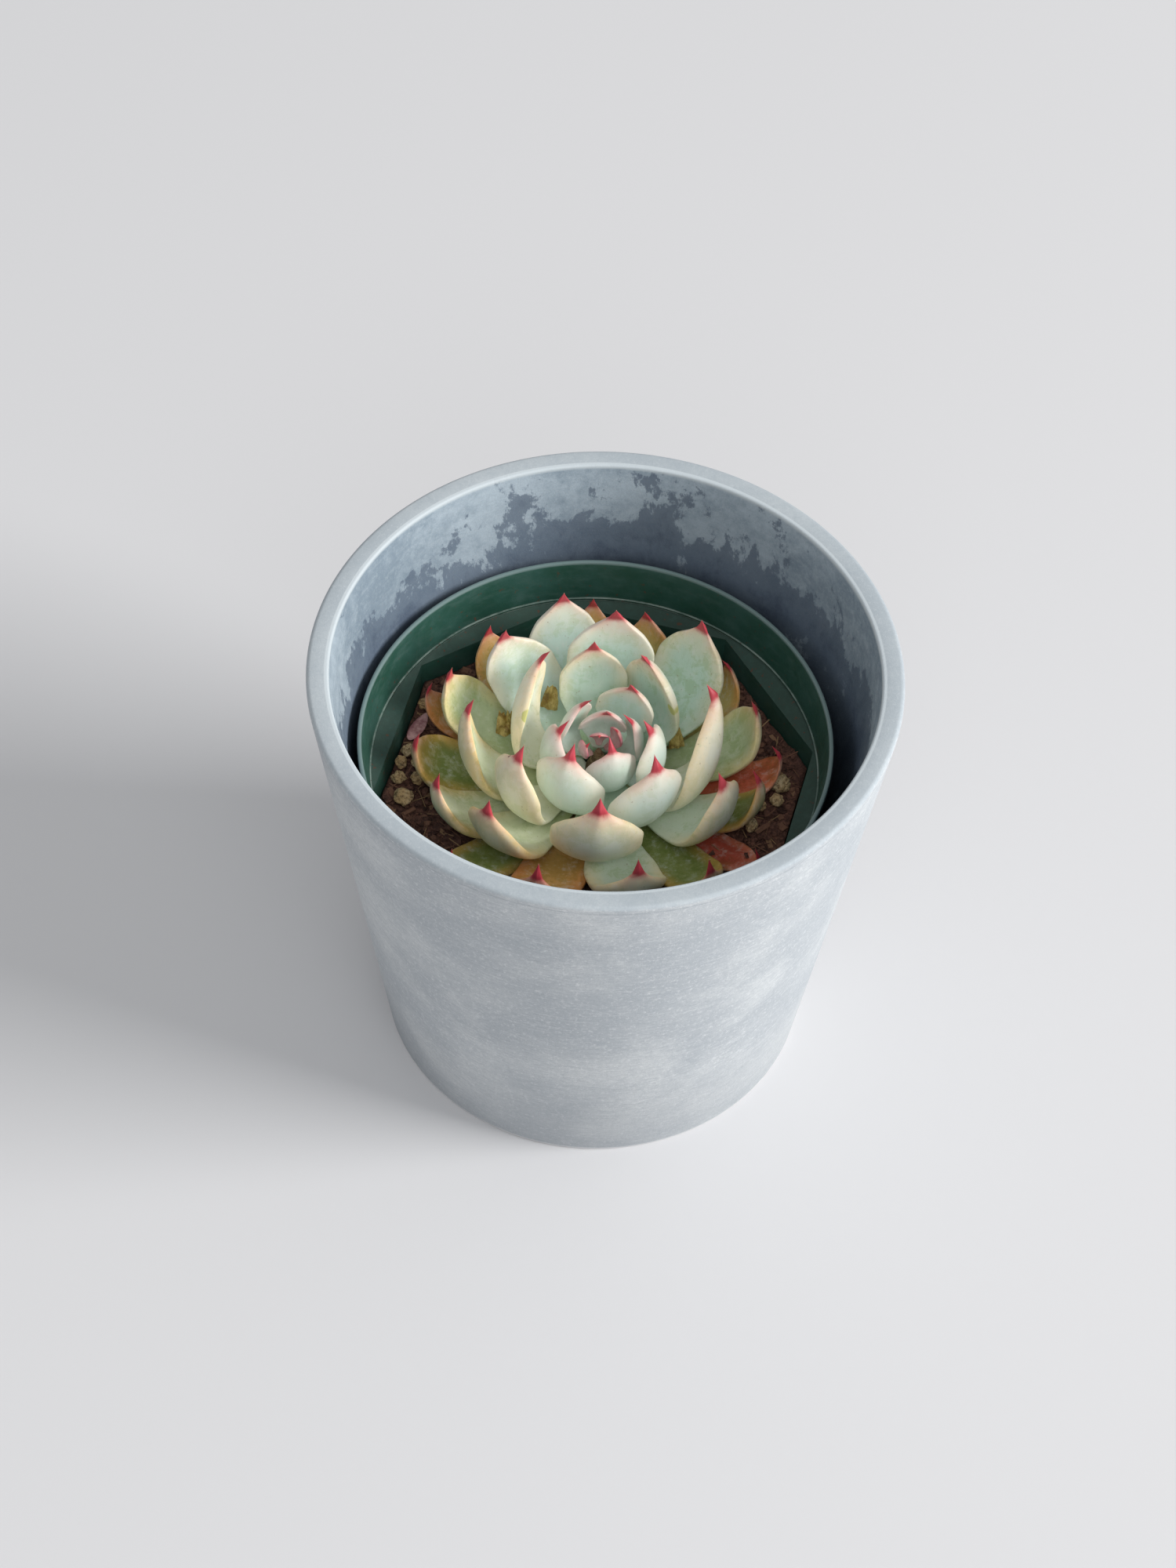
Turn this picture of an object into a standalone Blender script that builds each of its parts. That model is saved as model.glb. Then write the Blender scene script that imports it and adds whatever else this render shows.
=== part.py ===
# A potted rosette succulent: a round outer pot, a nursery pot standing in it, the soil, a short
# stem, a spiral rosette of thick pointed leaves and a few pumice grains lying on the soil.
# Metres, +Z up, origin at the centre of the outer pot's foot.

import math

import bmesh
import bpy
from mathutils import Vector, noise

MM = 0.001
GAP = 0.3 * MM                     # left between pieces that touch

# Outer pot, a plain cone with a flat rim
POT_HEIGHT = 131.2 * MM
POT_RIM_RADIUS = 75.0 * MM
POT_FOOT_RADIUS = 56.0 * MM
POT_WALL = 5.8 * MM
POT_FLOOR = 6.0 * MM
POT_RIM_ROUND = 1.2 * MM
POT_RECESS_RADIUS = 44.0 * MM      # shallow hollow under the foot
POT_RECESS_DEPTH = 1.5 * MM
POT_STEPS = 64

# Nursery pot, a round band on a body with eight flats
TUB_X = -1.9 * MM
TUB_BASE = POT_FLOOR + GAP
TUB_TOP = 104.0 * MM
TUB_SHELF = 90.5 * MM              # height where the band meets the flats
TUB_RIM_RADIUS = 60.7 * MM
TUB_BAND_RADIUS = 58.6 * MM        # outside of the band at the shelf
TUB_CORNER_RADIUS = 58.0 * MM      # outside corners of the flats at the shelf
TUB_BASE_RADIUS = 48.6 * MM        # outside corners of the flats at the base
TUB_WALL = 1.0 * MM
TUB_FLATS = 8
TUB_TURN = math.radians(9.5)
TUB_STEPS = 64
DRAIN_RADIUS = 3.5 * MM
DRAIN_CIRCLE = 28.0 * MM
DRAIN_COUNT = 6

# Soil and stem
SOIL_TOP = 80.5 * MM
SOIL_ROUGH = 0.4 * MM
SOIL_BANK = 3.4 * MM               # how much higher the soil lies against the wall
SOIL_BANK_FROM = 0.60              # share of the way out where it starts to rise
STEM_FOOT = 70.0 * MM
STEM_POCKET_RADIUS = 5.6 * MM
ROSETTE_X = -1.0 * MM
ROSETTE_Y = 2.0 * MM

# Leaves: the mesh of each is a ball of RINGS rings and SIDES sides, drawn out along a bent midline
SIDES = 10
RING_PLACES = (0.02, 0.20, 0.40, 0.58, 0.74, 0.87, 0.95, 1.0)
RING_WIDTHS = (0.27, 0.42, 0.75, 0.95, 0.98, 0.78, 0.46, 0.12)
RING_DEPTHS = (0.31, 0.41, 0.71, 0.93, 0.98, 0.80, 0.50, 0.15)
LEAF_DEPTH = 0.19                  # thickness as a share of the width
POINT = 3.2 * MM                   # the sharp point past the blade's end
POINT_LIFT = math.radians(10)
CUP = 0.06                         # how far the edges curl up, as a share of the half width

# Nested bowls that the leaves lie on, from the bud (level 0) to the soil (level 8):
# radius and height of the root on the stem, then of the bend that the midline is drawn to.
LEVELS = (
    (1.2, 97.0, 4.5, 98.5),
    (2.0, 95.2, 10.5, 93.5),
    (2.8, 93.4, 16.0, 89.0),
    (3.5, 91.6, 22.5, 85.5),
    (4.2, 89.8, 29.0, 82.5),
    (4.8, 88.0, 35.5, 80.5),
    (5.2, 86.2, 41.5, 79.5),
    (5.5, 84.4, 46.0, 79.5),
    (5.7, 82.8, 49.0, 80.5),
)

# Living leaves, inside to outside: azimuth in degrees, level, then in mm the blade end's distance
# from the axis and height, the blade's width, and how far its end leans sideways.
LEAVES = (
    (90, 0.0, 0.0, 102.4, 5.0, 0.0),
    (200, 0.3, 4.0, 102.0, 6.0, 2.0),
    (30, 0.4, 4.5, 103.0, 6.0, -1.0),
    (88, 1.1, 6.0, 104.4, 12.5, -1.5),
    (16, 1.6, 8.0, 105.3, 11.0, 1.5),
    (292, 1.9, 7.2, 106.4, 14.0, 0.5),
    (146, 1.9, 7.2, 106.4, 12.0, -4.2),
    (196, 2.4, 9.4, 107.4, 15.0, -1.0),
    (345, 2.6, 12.3, 108.2, 17.0, 2.0),
    (66, 2.5, 14.6, 107.1, 16.0, -2.0),
    (242, 3.1, 13.5, 109.3, 20.0, -0.5),
    (96, 3.3, 22.0, 111.9, 18.0, 0.0),
    (46, 4.0, 20.5, 112.1, 18.5, 5.0),
    (300, 3.8, 21.4, 112.0, 21.0, 4.5),
    (165, 3.9, 19.0, 111.2, 18.0, -14.0),
    (217, 4.5, 24.6, 112.1, 19.0, 0.0),
    (87, 4.6, 30.2, 114.9, 23.0, -1.5),
    (342, 4.7, 24.0, 111.2, 21.0, 17.0),
    (270, 4.9, 32.2, 113.9, 24.0, 1.0),
    (124, 5.25, 34.3, 111.9, 20.0, 7.5),
    (190, 5.2, 32.2, 110.0, 18.5, -7.5),
    (50, 5.4, 39.4, 111.8, 22.0, 0.0),
    (228, 5.6, 40.2, 108.8, 20.0, 0.0),
    (330, 5.8, 35.7, 108.0, 20.5, 0.5),
    (106, 6.4, 41.0, 109.9, 20.0, -0.5),
    (151, 6.2, 42.0, 104.9, 17.0, 4.5),
    (17, 6.3, 40.6, 103.9, 17.5, -1.5),
    (282, 6.4, 42.2, 100.9, 19.5, 2.5),
    (207, 6.6, 43.7, 102.8, 17.0, -3.0),
    (252, 7.1, 44.9, 99.9, 18.0, 0.0),
    (341, 7.3, 41.5, 101.0, 13.5, 3.5),
    (70, 7.1, 42.6, 102.0, 15.0, 4.0),
    (176, 7.2, 46.1, 99.9, 18.0, 5.0),
    (310, 7.5, 47.1, 97.8, 15.5, -1.5),
    (128, 7.3, 45.9, 100.9, 15.0, 2.0),
    (38, 7.7, 42.3, 100.0, 13.5, 2.0),
    (95, 8.0, 47.0, 99.9, 14.0, -1.0),
    (227, 8.1, 50.0, 94.8, 15.0, -2.5),
    (153, 8.1, 47.7, 96.9, 11.5, 4.0),
)
TAN_LEAF_COUNT = 8                 # the outermost living leaves, olive and tan
BUD_LEAF_COUNT = 8                 # the innermost, pink at the tips

# Dried leaves still on the stem, in the same terms; they are thin
DRY_LEAVES = (
    (1, 8.3, 45.6, 96.0, 12.5, 1.5),
    (328, 8.5, 49.4, 90.2, 11.0, -1.0),
)
DRY_DEPTH = 0.12

# A shed leaf lying on the soil: centre, length, width, thickness in mm, and its turn
SHED_LEAF = (-48.3, 16.6, 10.5, 4.4, 1.6, 66)

# Pumice grains on the soil: centre x and y, length, width and height in mm, and turn in degrees
GRAINS = (
    (-50.4, 8.4, 4.4, 3.6, 3.2, 20),
    (-51.9, 4.2, 3.8, 3.4, 3.6, 75),
    (-47.6, 4.6, 3.8, 3.2, 2.8, 10),
    (-52.2, -0.9, 4.4, 3.6, 3.2, 30),
    (-47.6, -0.4, 4.2, 3.8, 2.6, 120),
    (-46.4, 9.2, 3.4, 2.8, 2.4, 80),
    (-50.6, -6.8, 7.6, 3.2, 3.0, 48),
    (-47.0, 24.3, 3.7, 3.4, 2.6, 0),
    (32.0, 31.6, 4.8, 4.3, 3.4, 15),
    (36.0, 24.8, 4.4, 3.8, 3.0, 60),
    (46.2, 2.4, 5.8, 5.2, 4.2, 35),
    (45.4, -3.0, 4.0, 3.6, 3.0, 0),
    (41.2, -4.4, 3.5, 3.2, 2.8, 70),
    (38.9, -11.2, 5.1, 3.1, 2.8, 105),
)


def clear_scene():
    for old in list(bpy.data.objects):
        bpy.data.objects.remove(old, do_unlink=True)


def new_collection(name):
    collection = bpy.data.collections.new(name)
    bpy.context.scene.collection.children.link(collection)
    return collection


def new_material(name, colour, roughness):
    material = bpy.data.materials.new(name)
    material.use_nodes = True
    shader = material.node_tree.nodes["Principled BSDF"]
    shader.inputs["Base Color"].default_value = (*colour, 1.0)
    shader.inputs["Roughness"].default_value = roughness
    shader.inputs["Metallic"].default_value = 0.0
    return material


def new_object(name, mesh, collection, material=None):
    piece = bpy.data.objects.new(name, mesh)
    if material:
        mesh.materials.append(material)
    collection.objects.link(piece)
    return piece


def arc(centre_x, centre_z, radius, start, end, count):
    """Points of an arc in the XZ plane, from one angle in degrees to another."""
    points = []
    for i in range(count + 1):
        angle = math.radians(start + (end - start) * i / count)
        points.append((centre_x + radius * math.cos(angle), centre_z + radius * math.sin(angle)))
    return points


def turned(name, profile, steps, collection, material):
    """A turned piece: the profile's radii and heights, revolved about its own Z axis."""
    mesh = bpy.data.meshes.new(name)
    corners = [(radius, 0.0, height) for radius, height in profile]
    mesh.from_pydata(corners, [(i, i + 1) for i in range(len(corners) - 1)], [])
    piece = new_object(name, mesh, collection, material)
    screw = piece.modifiers.new("Turn", "SCREW")
    screw.steps = steps
    screw.render_steps = steps
    screw.use_merge_vertices = True
    screw.merge_threshold = 0.00001
    screw.use_smooth_shade = True
    return piece


def applied(piece):
    """The piece with its modifiers made part of its mesh."""
    mesh = bpy.data.meshes.new_from_object(piece.evaluated_get(bpy.context.evaluated_depsgraph_get()))
    piece.modifiers.clear()
    piece.data = mesh
    return mesh


def cut(piece, cutter, name):
    cutter.hide_render = True
    cutter.display_type = "WIRE"
    boolean = piece.modifiers.new(name, "BOOLEAN")
    boolean.operation = "DIFFERENCE"
    boolean.solver = "EXACT"
    boolean.object = cutter


def rod(name, radius, bottom, top, x, y, collection):
    """An upright cylinder to cut with."""
    form = bmesh.new()
    bmesh.ops.create_cone(form, cap_ends=True, segments=24, radius1=radius, radius2=radius,
                          depth=top - bottom)
    mesh = bpy.data.meshes.new(name)
    form.to_mesh(mesh)
    form.free()
    piece = new_object(name, mesh, collection)
    piece.location = (x, y, (bottom + top) / 2)
    return piece


def add_outer_pot(parts, material):
    taper = (POT_RIM_RADIUS - POT_FOOT_RADIUS) / POT_HEIGHT
    mouth = POT_RIM_RADIUS - POT_WALL
    floor_radius = mouth - (POT_HEIGHT - POT_FLOOR) * taper
    rim = POT_RIM_ROUND
    inside = [(0.0, POT_FLOOR), (floor_radius * 0.6, POT_FLOOR)]
    inside += arc(floor_radius - 3 * MM, POT_FLOOR + 3 * MM, 3 * MM, -90, 0, 3)
    inside += [(mouth, POT_HEIGHT - rim), (mouth + rim, POT_HEIGHT)]
    outside = arc(POT_RIM_RADIUS - rim, POT_HEIGHT - rim, rim, 90, 0, 3)
    outside += [(POT_FOOT_RADIUS + 2 * MM * taper, 2 * MM), (POT_FOOT_RADIUS - 1 * MM, 0.0)]
    underside = [(POT_RECESS_RADIUS, 0.0), (POT_RECESS_RADIUS - 1 * MM, POT_RECESS_DEPTH),
                 (0.0, POT_RECESS_DEPTH)]
    return turned("outer_pot", inside + outside + underside, POT_STEPS, parts, material)


def flats_share(angle):
    """How far a corner circle is pressed in at an angle, where it becomes an even-sided polygon."""
    half = math.pi / TUB_FLATS
    off_middle = (angle % (2 * half)) - half
    return math.cos(half) / math.cos(off_middle)


def press_flats(mesh, widest):
    """Press every point inside a radius onto the flats."""
    for vertex in mesh.vertices:
        radius = math.hypot(vertex.co.x, vertex.co.y)
        if 0.001 * MM < radius < widest:
            share = flats_share(math.atan2(vertex.co.y, vertex.co.x))
            vertex.co.x *= share
            vertex.co.y *= share


def tub_corner(height):
    """Outside corner radius of the nursery pot's flats at a height."""
    share = (height - TUB_BASE) / (TUB_SHELF - TUB_BASE)
    return TUB_BASE_RADIUS + (TUB_CORNER_RADIUS - TUB_BASE_RADIUS) * share


def add_nursery_pot(parts, cutters, material):
    wall = TUB_WALL
    inner_shelf = TUB_CORNER_RADIUS - wall
    band_inside = TUB_BAND_RADIUS - wall
    floor = TUB_BASE + 1.2 * MM
    inside = [(0.0, floor), (30 * MM, floor), (tub_corner(floor) - wall - 1.5 * MM, floor),
              (tub_corner(floor) - wall, floor + 1.5 * MM),
              (inner_shelf, TUB_SHELF), (band_inside, TUB_SHELF),
              (band_inside + 0.1 * MM, TUB_SHELF + 1.0 * MM),
              (TUB_RIM_RADIUS - wall - 0.2 * MM, TUB_TOP)]
    outside = [(TUB_RIM_RADIUS, TUB_TOP), (TUB_RIM_RADIUS, TUB_TOP - 1.4 * MM),
               (TUB_RIM_RADIUS - 0.5 * MM, TUB_TOP - 1.8 * MM),
               (TUB_BAND_RADIUS, TUB_SHELF - wall),
               (TUB_CORNER_RADIUS - 0.1 * MM, TUB_SHELF - wall),
               (tub_corner(TUB_BASE + 2 * MM), TUB_BASE + 2 * MM),
               (TUB_BASE_RADIUS - 2 * MM, TUB_BASE), (30 * MM, TUB_BASE), (0.0, TUB_BASE)]
    pot = turned("nursery_pot", inside + outside, TUB_STEPS, parts, material)
    mesh = applied(pot)
    press_flats(mesh, (TUB_CORNER_RADIUS + TUB_BAND_RADIUS - wall) / 2 - 0.1 * MM)
    pot.location = (TUB_X, 0.0, 0.0)
    pot.rotation_euler = (0.0, 0.0, TUB_TURN)
    for i in range(DRAIN_COUNT):
        angle = 2 * math.pi * i / DRAIN_COUNT
        x = TUB_X + DRAIN_CIRCLE * math.cos(angle)
        y = DRAIN_CIRCLE * math.sin(angle)
        hole = rod(f"drain_cutter_{i + 1}", DRAIN_RADIUS, TUB_BASE - 2 * MM, floor + 2 * MM, x, y,
                   cutters)
        cut(pot, hole, f"Drain {i + 1}")
    return pot


def soil_bank(share):
    """How much the soil is banked up at a share of the way out to the wall."""
    part = max(0.0, share - SOIL_BANK_FROM) / (1 - SOIL_BANK_FROM)
    return SOIL_BANK * part * (2 - part) if part < 1 else SOIL_BANK


def soil_surface(x, y):
    """Height of the soil under a point, before its small bumps."""
    angle = math.atan2(y, x - TUB_X) - TUB_TURN
    corner = tub_corner(SOIL_TOP + SOIL_BANK) - TUB_WALL - 1.5 * GAP
    reach = corner * flats_share(angle)
    return SOIL_TOP + soil_bank(min(1.0, math.hypot(x - TUB_X, y) / reach))


def add_soil(parts, cutters, material):
    clearance = TUB_WALL + 1.5 * GAP
    bottom = TUB_BASE + 1.2 * MM + GAP
    top_corner = tub_corner(SOIL_TOP + SOIL_BANK) - clearance
    low_corner = tub_corner(bottom) - clearance - 2.0 * MM
    rings = [(top_corner * share, SOIL_TOP + soil_bank(share))
             for share in (0.0, 0.2, 0.45, 0.6, 0.7, 0.8, 0.9, 1.0)]
    profile = rings + [(low_corner + 1.8 * MM, bottom + 3 * MM), (low_corner - 1 * MM, bottom),
                       (0.0, bottom)]
    soil = turned("soil", profile, 48, parts, material)
    mesh = applied(soil)
    press_flats(mesh, top_corner * 2)
    for vertex in mesh.vertices:
        if vertex.co.z > SOIL_TOP - 1 * MM:
            vertex.co.z += SOIL_ROUGH * noise.noise(vertex.co / (9 * MM))
    soil.location = (TUB_X, 0.0, 0.0)
    soil.rotation_euler = (0.0, 0.0, TUB_TURN)
    pocket = rod("stem_cutter", STEM_POCKET_RADIUS, STEM_FOOT - GAP, SOIL_TOP + 5 * MM,
                 ROSETTE_X, ROSETTE_Y, cutters)
    cut(soil, pocket, "Stem pocket")
    return soil


def add_stem(parts, material, rosette):
    profile = [(0.0, 97.4), (0.5, 97.2), (1.3, 95.2), (2.1, 93.4), (2.8, 91.6), (3.5, 89.8),
               (4.1, 88.0), (4.5, 86.2), (4.8, 84.4), (5.0, 82.0), (5.0, 79.0), (4.4, 74.0),
               (3.4, 70.6), (0.0, STEM_FOOT / MM)]
    stem = turned("stem", [(r * MM, z * MM) for r, z in profile], 20, parts, material)
    stem.parent = rosette
    return stem


def level_place(level):
    """Root and bend of a midline at a level, between the stated bowls."""
    low = min(int(level), len(LEVELS) - 2)
    share = level - low
    return [(a + (b - a) * share) * MM for a, b in zip(LEVELS[low], LEVELS[low + 1])]


def midline(level, reach, rise):
    """Points along a leaf, root to blade end, as (distance out, height, slope, share of length)."""
    root_r, root_z, bend_r, bend_z = level_place(level)
    spans = 60
    points = []
    length = 0.0
    for i in range(spans + 1):
        t = i / spans
        r = (1 - t) ** 2 * root_r + 2 * t * (1 - t) * bend_r + t * t * reach
        z = (1 - t) ** 2 * root_z + 2 * t * (1 - t) * bend_z + t * t * rise
        slope = math.atan2((1 - t) * (bend_z - root_z) + t * (rise - bend_z),
                           (1 - t) * (bend_r - root_r) + t * (reach - bend_r))
        if points:
            length += math.hypot(r - points[-1][0], z - points[-1][1])
        points.append((r, z, slope, length))
    return [(r, z, slope, along / length) for r, z, slope, along in points]


def at_share(points, share):
    """Distance out, height and slope of a midline at a share of its length."""
    for a, b in zip(points, points[1:]):
        if share <= b[3]:
            part = (share - a[3]) / (b[3] - a[3])
            return [a[i] + (b[i] - a[i]) * part for i in range(3)]
    return points[-1][:3]


def leaf_point(points, ring, angle, width, depth, lean):
    """A point on a leaf's skin: a lens section, hollow above and keeled below."""
    share = RING_PLACES[ring]
    r, z, slope = at_share(points, share)
    half = RING_WIDTHS[ring] * width / 2
    thick = min(RING_DEPTHS[ring] * width * depth, 1.7 * half)
    across = math.cos(angle)
    height = abs(math.sin(angle)) ** 0.9
    keel = 1 + 0.22 * max(0.0, (share - 0.3) / 0.7) * math.exp(-(across / 0.35) ** 2)
    lift = 0.30 * thick * height if math.sin(angle) >= 0 else -0.70 * thick * height * keel
    bowl = 0.5 * max(0.0, math.sin(slope)) / max(r, 3 * MM)
    lift += bowl * (across * half) ** 2 + CUP * half * across ** 2 * share
    side = lean * share ** 2.5 + across * half
    return Vector((r - math.sin(slope) * lift, side, z + math.cos(slope) * lift))


def add_leaf(name, shape, depth, parts, material, rosette):
    azimuth, level, reach, rise, width, lean = shape
    reach, rise, width, lean = reach * MM, rise * MM, width * MM, lean * MM
    points = midline(level, reach, rise)
    rings = len(RING_PLACES)
    form = bmesh.new()
    bmesh.ops.create_uvsphere(form, u_segments=SIDES, v_segments=rings + 1, radius=1.0)
    point = POINT if width > 8 * MM else POINT * 0.4
    slope = points[-1][2] + POINT_LIFT
    for vertex in form.verts:
        tilt = math.acos(max(-1.0, min(1.0, -vertex.co.z)))
        ring = round(tilt * (rings + 1) / math.pi) - 1
        if ring < 0:
            vertex.co = Vector((points[0][0] - 0.15 * MM, 0.0, points[0][1]))
        elif ring == rings:
            vertex.co = Vector((reach + point * math.cos(slope), lean, rise + point * math.sin(slope)))
        else:
            angle = math.atan2(vertex.co.y, vertex.co.x)
            vertex.co = leaf_point(points, ring, angle, width, depth, lean)
    bmesh.ops.recalc_face_normals(form, faces=form.faces)
    mesh = bpy.data.meshes.new(name)
    form.to_mesh(mesh)
    form.free()
    mesh.shade_smooth()
    leaf = new_object(name, mesh, parts, material)
    leaf.parent = rosette
    leaf.rotation_euler = (0.0, 0.0, math.radians(azimuth))
    return leaf


def add_shed_leaf(parts, material):
    """A small dry leaf on its side, curled like a husk."""
    x, y, length, width, thick, turn = SHED_LEAF
    form = bmesh.new()
    bmesh.ops.create_uvsphere(form, u_segments=12, v_segments=8, radius=0.5)
    for vertex in form.verts:
        along, across, up = vertex.co.z, vertex.co.x, vertex.co.y
        narrow = 1 - 0.5 * (along + 0.5) ** 2
        curl = 1.6 * (along * along - 0.25)
        vertex.co = Vector((along * length, across * width * narrow + curl,
                            up * thick + 3.2 * (across * narrow) ** 2)) * MM
    bmesh.ops.recalc_face_normals(form, faces=form.faces)
    mesh = bpy.data.meshes.new("shed_leaf")
    form.to_mesh(mesh)
    form.free()
    mesh.shade_smooth()
    leaf = new_object("shed_leaf", mesh, parts, material)
    ground = soil_surface((x - 2) * MM, y * MM)
    leaf.location = (x * MM, y * MM, ground + SOIL_ROUGH + GAP + thick / 2 * MM)
    leaf.rotation_euler = (0.0, 0.0, math.radians(turn))
    return leaf


def add_grain(name, place, seed, parts, material):
    """A pumice grain: a small ball knocked out of round."""
    x, y, length, width, height, turn = place
    form = bmesh.new()
    bmesh.ops.create_icosphere(form, subdivisions=2, radius=0.5)
    for vertex in form.verts:
        bump = 1 + 0.22 * noise.noise(vertex.co * 3.0 + Vector((seed * 7.3, seed * 1.9, 0.0)))
        vertex.co = Vector((vertex.co.x * length, vertex.co.y * width, vertex.co.z * height)) * bump * MM
    lowest = min(vertex.co.z for vertex in form.verts)
    mesh = bpy.data.meshes.new(name)
    form.to_mesh(mesh)
    form.free()
    mesh.shade_smooth()
    grain = new_object(name, mesh, parts, material)
    further = 1 + length / 2 / math.hypot(x, y)
    ground = soil_surface(x * MM * further, y * MM * further)
    grain.location = (x * MM, y * MM, ground + SOIL_ROUGH * 0.6 - lowest)
    grain.rotation_euler = (0.0, 0.0, math.radians(turn))
    return grain


def build():
    clear_scene()
    parts = new_collection("potted_succulent")
    cutters = new_collection("cutters")
    rosette = bpy.data.objects.new("rosette_axis", None)
    rosette.location = (ROSETTE_X, ROSETTE_Y, 0.0)
    parts.objects.link(rosette)

    add_outer_pot(parts, new_material("pot_stone", (0.42, 0.47, 0.52), 0.75))
    add_nursery_pot(parts, cutters, new_material("nursery_plastic", (0.015, 0.085, 0.06), 0.4))
    add_soil(parts, cutters, new_material("potting_soil", (0.055, 0.03, 0.022), 0.95))
    add_stem(parts, new_material("stem_bark", (0.2, 0.14, 0.08), 0.85), rosette)

    bud = new_material("leaf_bud", (0.4, 0.42, 0.36), 0.55)
    green = new_material("leaf_green", (0.45, 0.55, 0.4), 0.55)
    tan = new_material("leaf_tan", (0.5, 0.4, 0.15), 0.55)
    for number, shape in enumerate(LEAVES, start=1):
        material = green
        if number <= BUD_LEAF_COUNT:
            material = bud
        elif number > len(LEAVES) - TAN_LEAF_COUNT:
            material = tan
        add_leaf(f"leaf_{number:02d}", shape, LEAF_DEPTH, parts, material, rosette)
    dry = new_material("leaf_dry", (0.5, 0.12, 0.05), 0.8)
    for number, shape in enumerate(DRY_LEAVES, start=1):
        add_leaf(f"dry_leaf_{number}", shape, DRY_DEPTH, parts, dry, rosette)
    add_shed_leaf(parts, new_material("leaf_shed", (0.4, 0.2, 0.19), 0.8))

    pumice = new_material("pumice", (0.6, 0.5, 0.33), 0.95)
    for number, place in enumerate(GRAINS, start=1):
        add_grain(f"grain_{number:02d}", place, number, parts, pumice)


build()
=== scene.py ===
# A potted rosette succulent: outer pot, nursery pot, soil, stem, leaves and pumice grains.
import math
import random

import bpy
import numpy as np
from mathutils import Matrix, Vector, noise


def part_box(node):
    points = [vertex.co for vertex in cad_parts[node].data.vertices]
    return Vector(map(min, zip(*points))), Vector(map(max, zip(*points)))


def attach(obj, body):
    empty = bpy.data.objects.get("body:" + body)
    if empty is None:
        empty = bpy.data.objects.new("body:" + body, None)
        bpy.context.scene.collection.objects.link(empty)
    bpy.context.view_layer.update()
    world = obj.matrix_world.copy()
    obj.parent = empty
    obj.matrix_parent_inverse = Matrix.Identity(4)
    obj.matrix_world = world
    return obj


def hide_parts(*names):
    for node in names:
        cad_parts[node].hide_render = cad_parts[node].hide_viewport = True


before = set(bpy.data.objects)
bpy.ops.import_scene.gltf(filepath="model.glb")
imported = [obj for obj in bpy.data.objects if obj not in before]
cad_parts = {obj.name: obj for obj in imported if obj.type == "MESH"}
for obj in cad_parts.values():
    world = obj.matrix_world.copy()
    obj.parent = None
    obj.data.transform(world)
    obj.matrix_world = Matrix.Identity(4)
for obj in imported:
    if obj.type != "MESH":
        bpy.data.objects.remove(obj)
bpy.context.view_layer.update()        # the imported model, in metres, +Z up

mm = 0.001


def tint(red, green, blue):  # screen colour 0 to 255, as the shader's linear colour
    linear = []
    for value in (red, green, blue):
        share = value / 255
        linear.append(share / 12.92 if share <= 0.04045 else ((share + 0.055) / 1.055) ** 2.4)
    return (*linear, 1.0)


def selectOnly(piece):
    bpy.ops.object.select_all(action="DESELECT")
    piece.select_set(True)
    bpy.context.view_layer.objects.active = piece


def editFaces(piece, wanted):  # enters edit mode with the faces chosen whose centre and normal pass
    selectOnly(piece)
    mesh = piece.data
    mesh.vertices.foreach_set("select", [False] * len(mesh.vertices))
    mesh.edges.foreach_set("select", [False] * len(mesh.edges))
    mesh.polygons.foreach_set("select", [wanted(face.center, face.normal) for face in mesh.polygons])
    bpy.ops.object.mode_set(mode="EDIT")
    bpy.context.tool_settings.mesh_select_mode = (False, False, True)


def editEdges(piece, wanted):  # enters edit mode with the edges chosen whose two ends both pass
    selectOnly(piece)
    mesh = piece.data
    points = mesh.vertices
    mesh.polygons.foreach_set("select", [False] * len(mesh.polygons))
    mesh.vertices.foreach_set("select", [False] * len(points))
    chosen = [wanted(points[a].co, points[b].co) for a, b in (edge.vertices for edge in mesh.edges)]
    mesh.edges.foreach_set("select", chosen)
    bpy.context.tool_settings.mesh_select_mode = (False, True, False)
    bpy.ops.object.mode_set(mode="EDIT")


def editAll(piece):  # enters edit mode with everything chosen
    selectOnly(piece)
    bpy.ops.object.mode_set(mode="EDIT")
    bpy.ops.mesh.select_all(action="SELECT")


def leaveEdit():
    bpy.ops.object.mode_set(mode="OBJECT")


def grow(radiusShare, rise):  # lifts the chosen face ring and widens it about the pot's axis
    bpy.ops.mesh.extrude_region_move(TRANSFORM_OT_translate={"value": (0, 0, rise)})
    bpy.ops.transform.resize(value=(radiusShare, radiusShare, 1), center_override=(0, 0, 0))


def settle(piece):  # place, turn and size go into the mesh
    selectOnly(piece)
    bpy.ops.object.transform_apply(location=True, rotation=True, scale=True)


def applyModifiers(piece):
    selectOnly(piece)
    for modifier in list(piece.modifiers):
        bpy.ops.object.modifier_apply(modifier=modifier.name)


def smoothBy(piece, degrees):
    selectOnly(piece)
    bpy.ops.object.shade_smooth_by_angle(angle=math.radians(degrees))


def standIn(piece, material, node):  # the piece takes the CAD node's place
    piece.data.materials.clear()
    piece.data.materials.append(material)
    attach(piece, "root")
    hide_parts(node)


def giveNumbers(mesh, name, values):  # one number for each point, for a material to read
    store = mesh.attributes.new(name, "FLOAT", "POINT")
    store.data.foreach_set("value", np.asarray(values, dtype=np.float32))


def addNode(tree, kind, settings=None, **sockets):  # i0, i1 and so on name an input by its number
    made = tree.nodes.new(kind)
    for name, value in (settings or {}).items():
        setattr(made, name, value)
    for name, value in sockets.items():
        socket = made.inputs[int(name[1:])] if name[0] == "i" and name[1:].isdigit() else made.inputs[name]
        if isinstance(value, bpy.types.NodeSocket):
            tree.links.new(value, socket)
        else:
            socket.default_value = value
    return made


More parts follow.
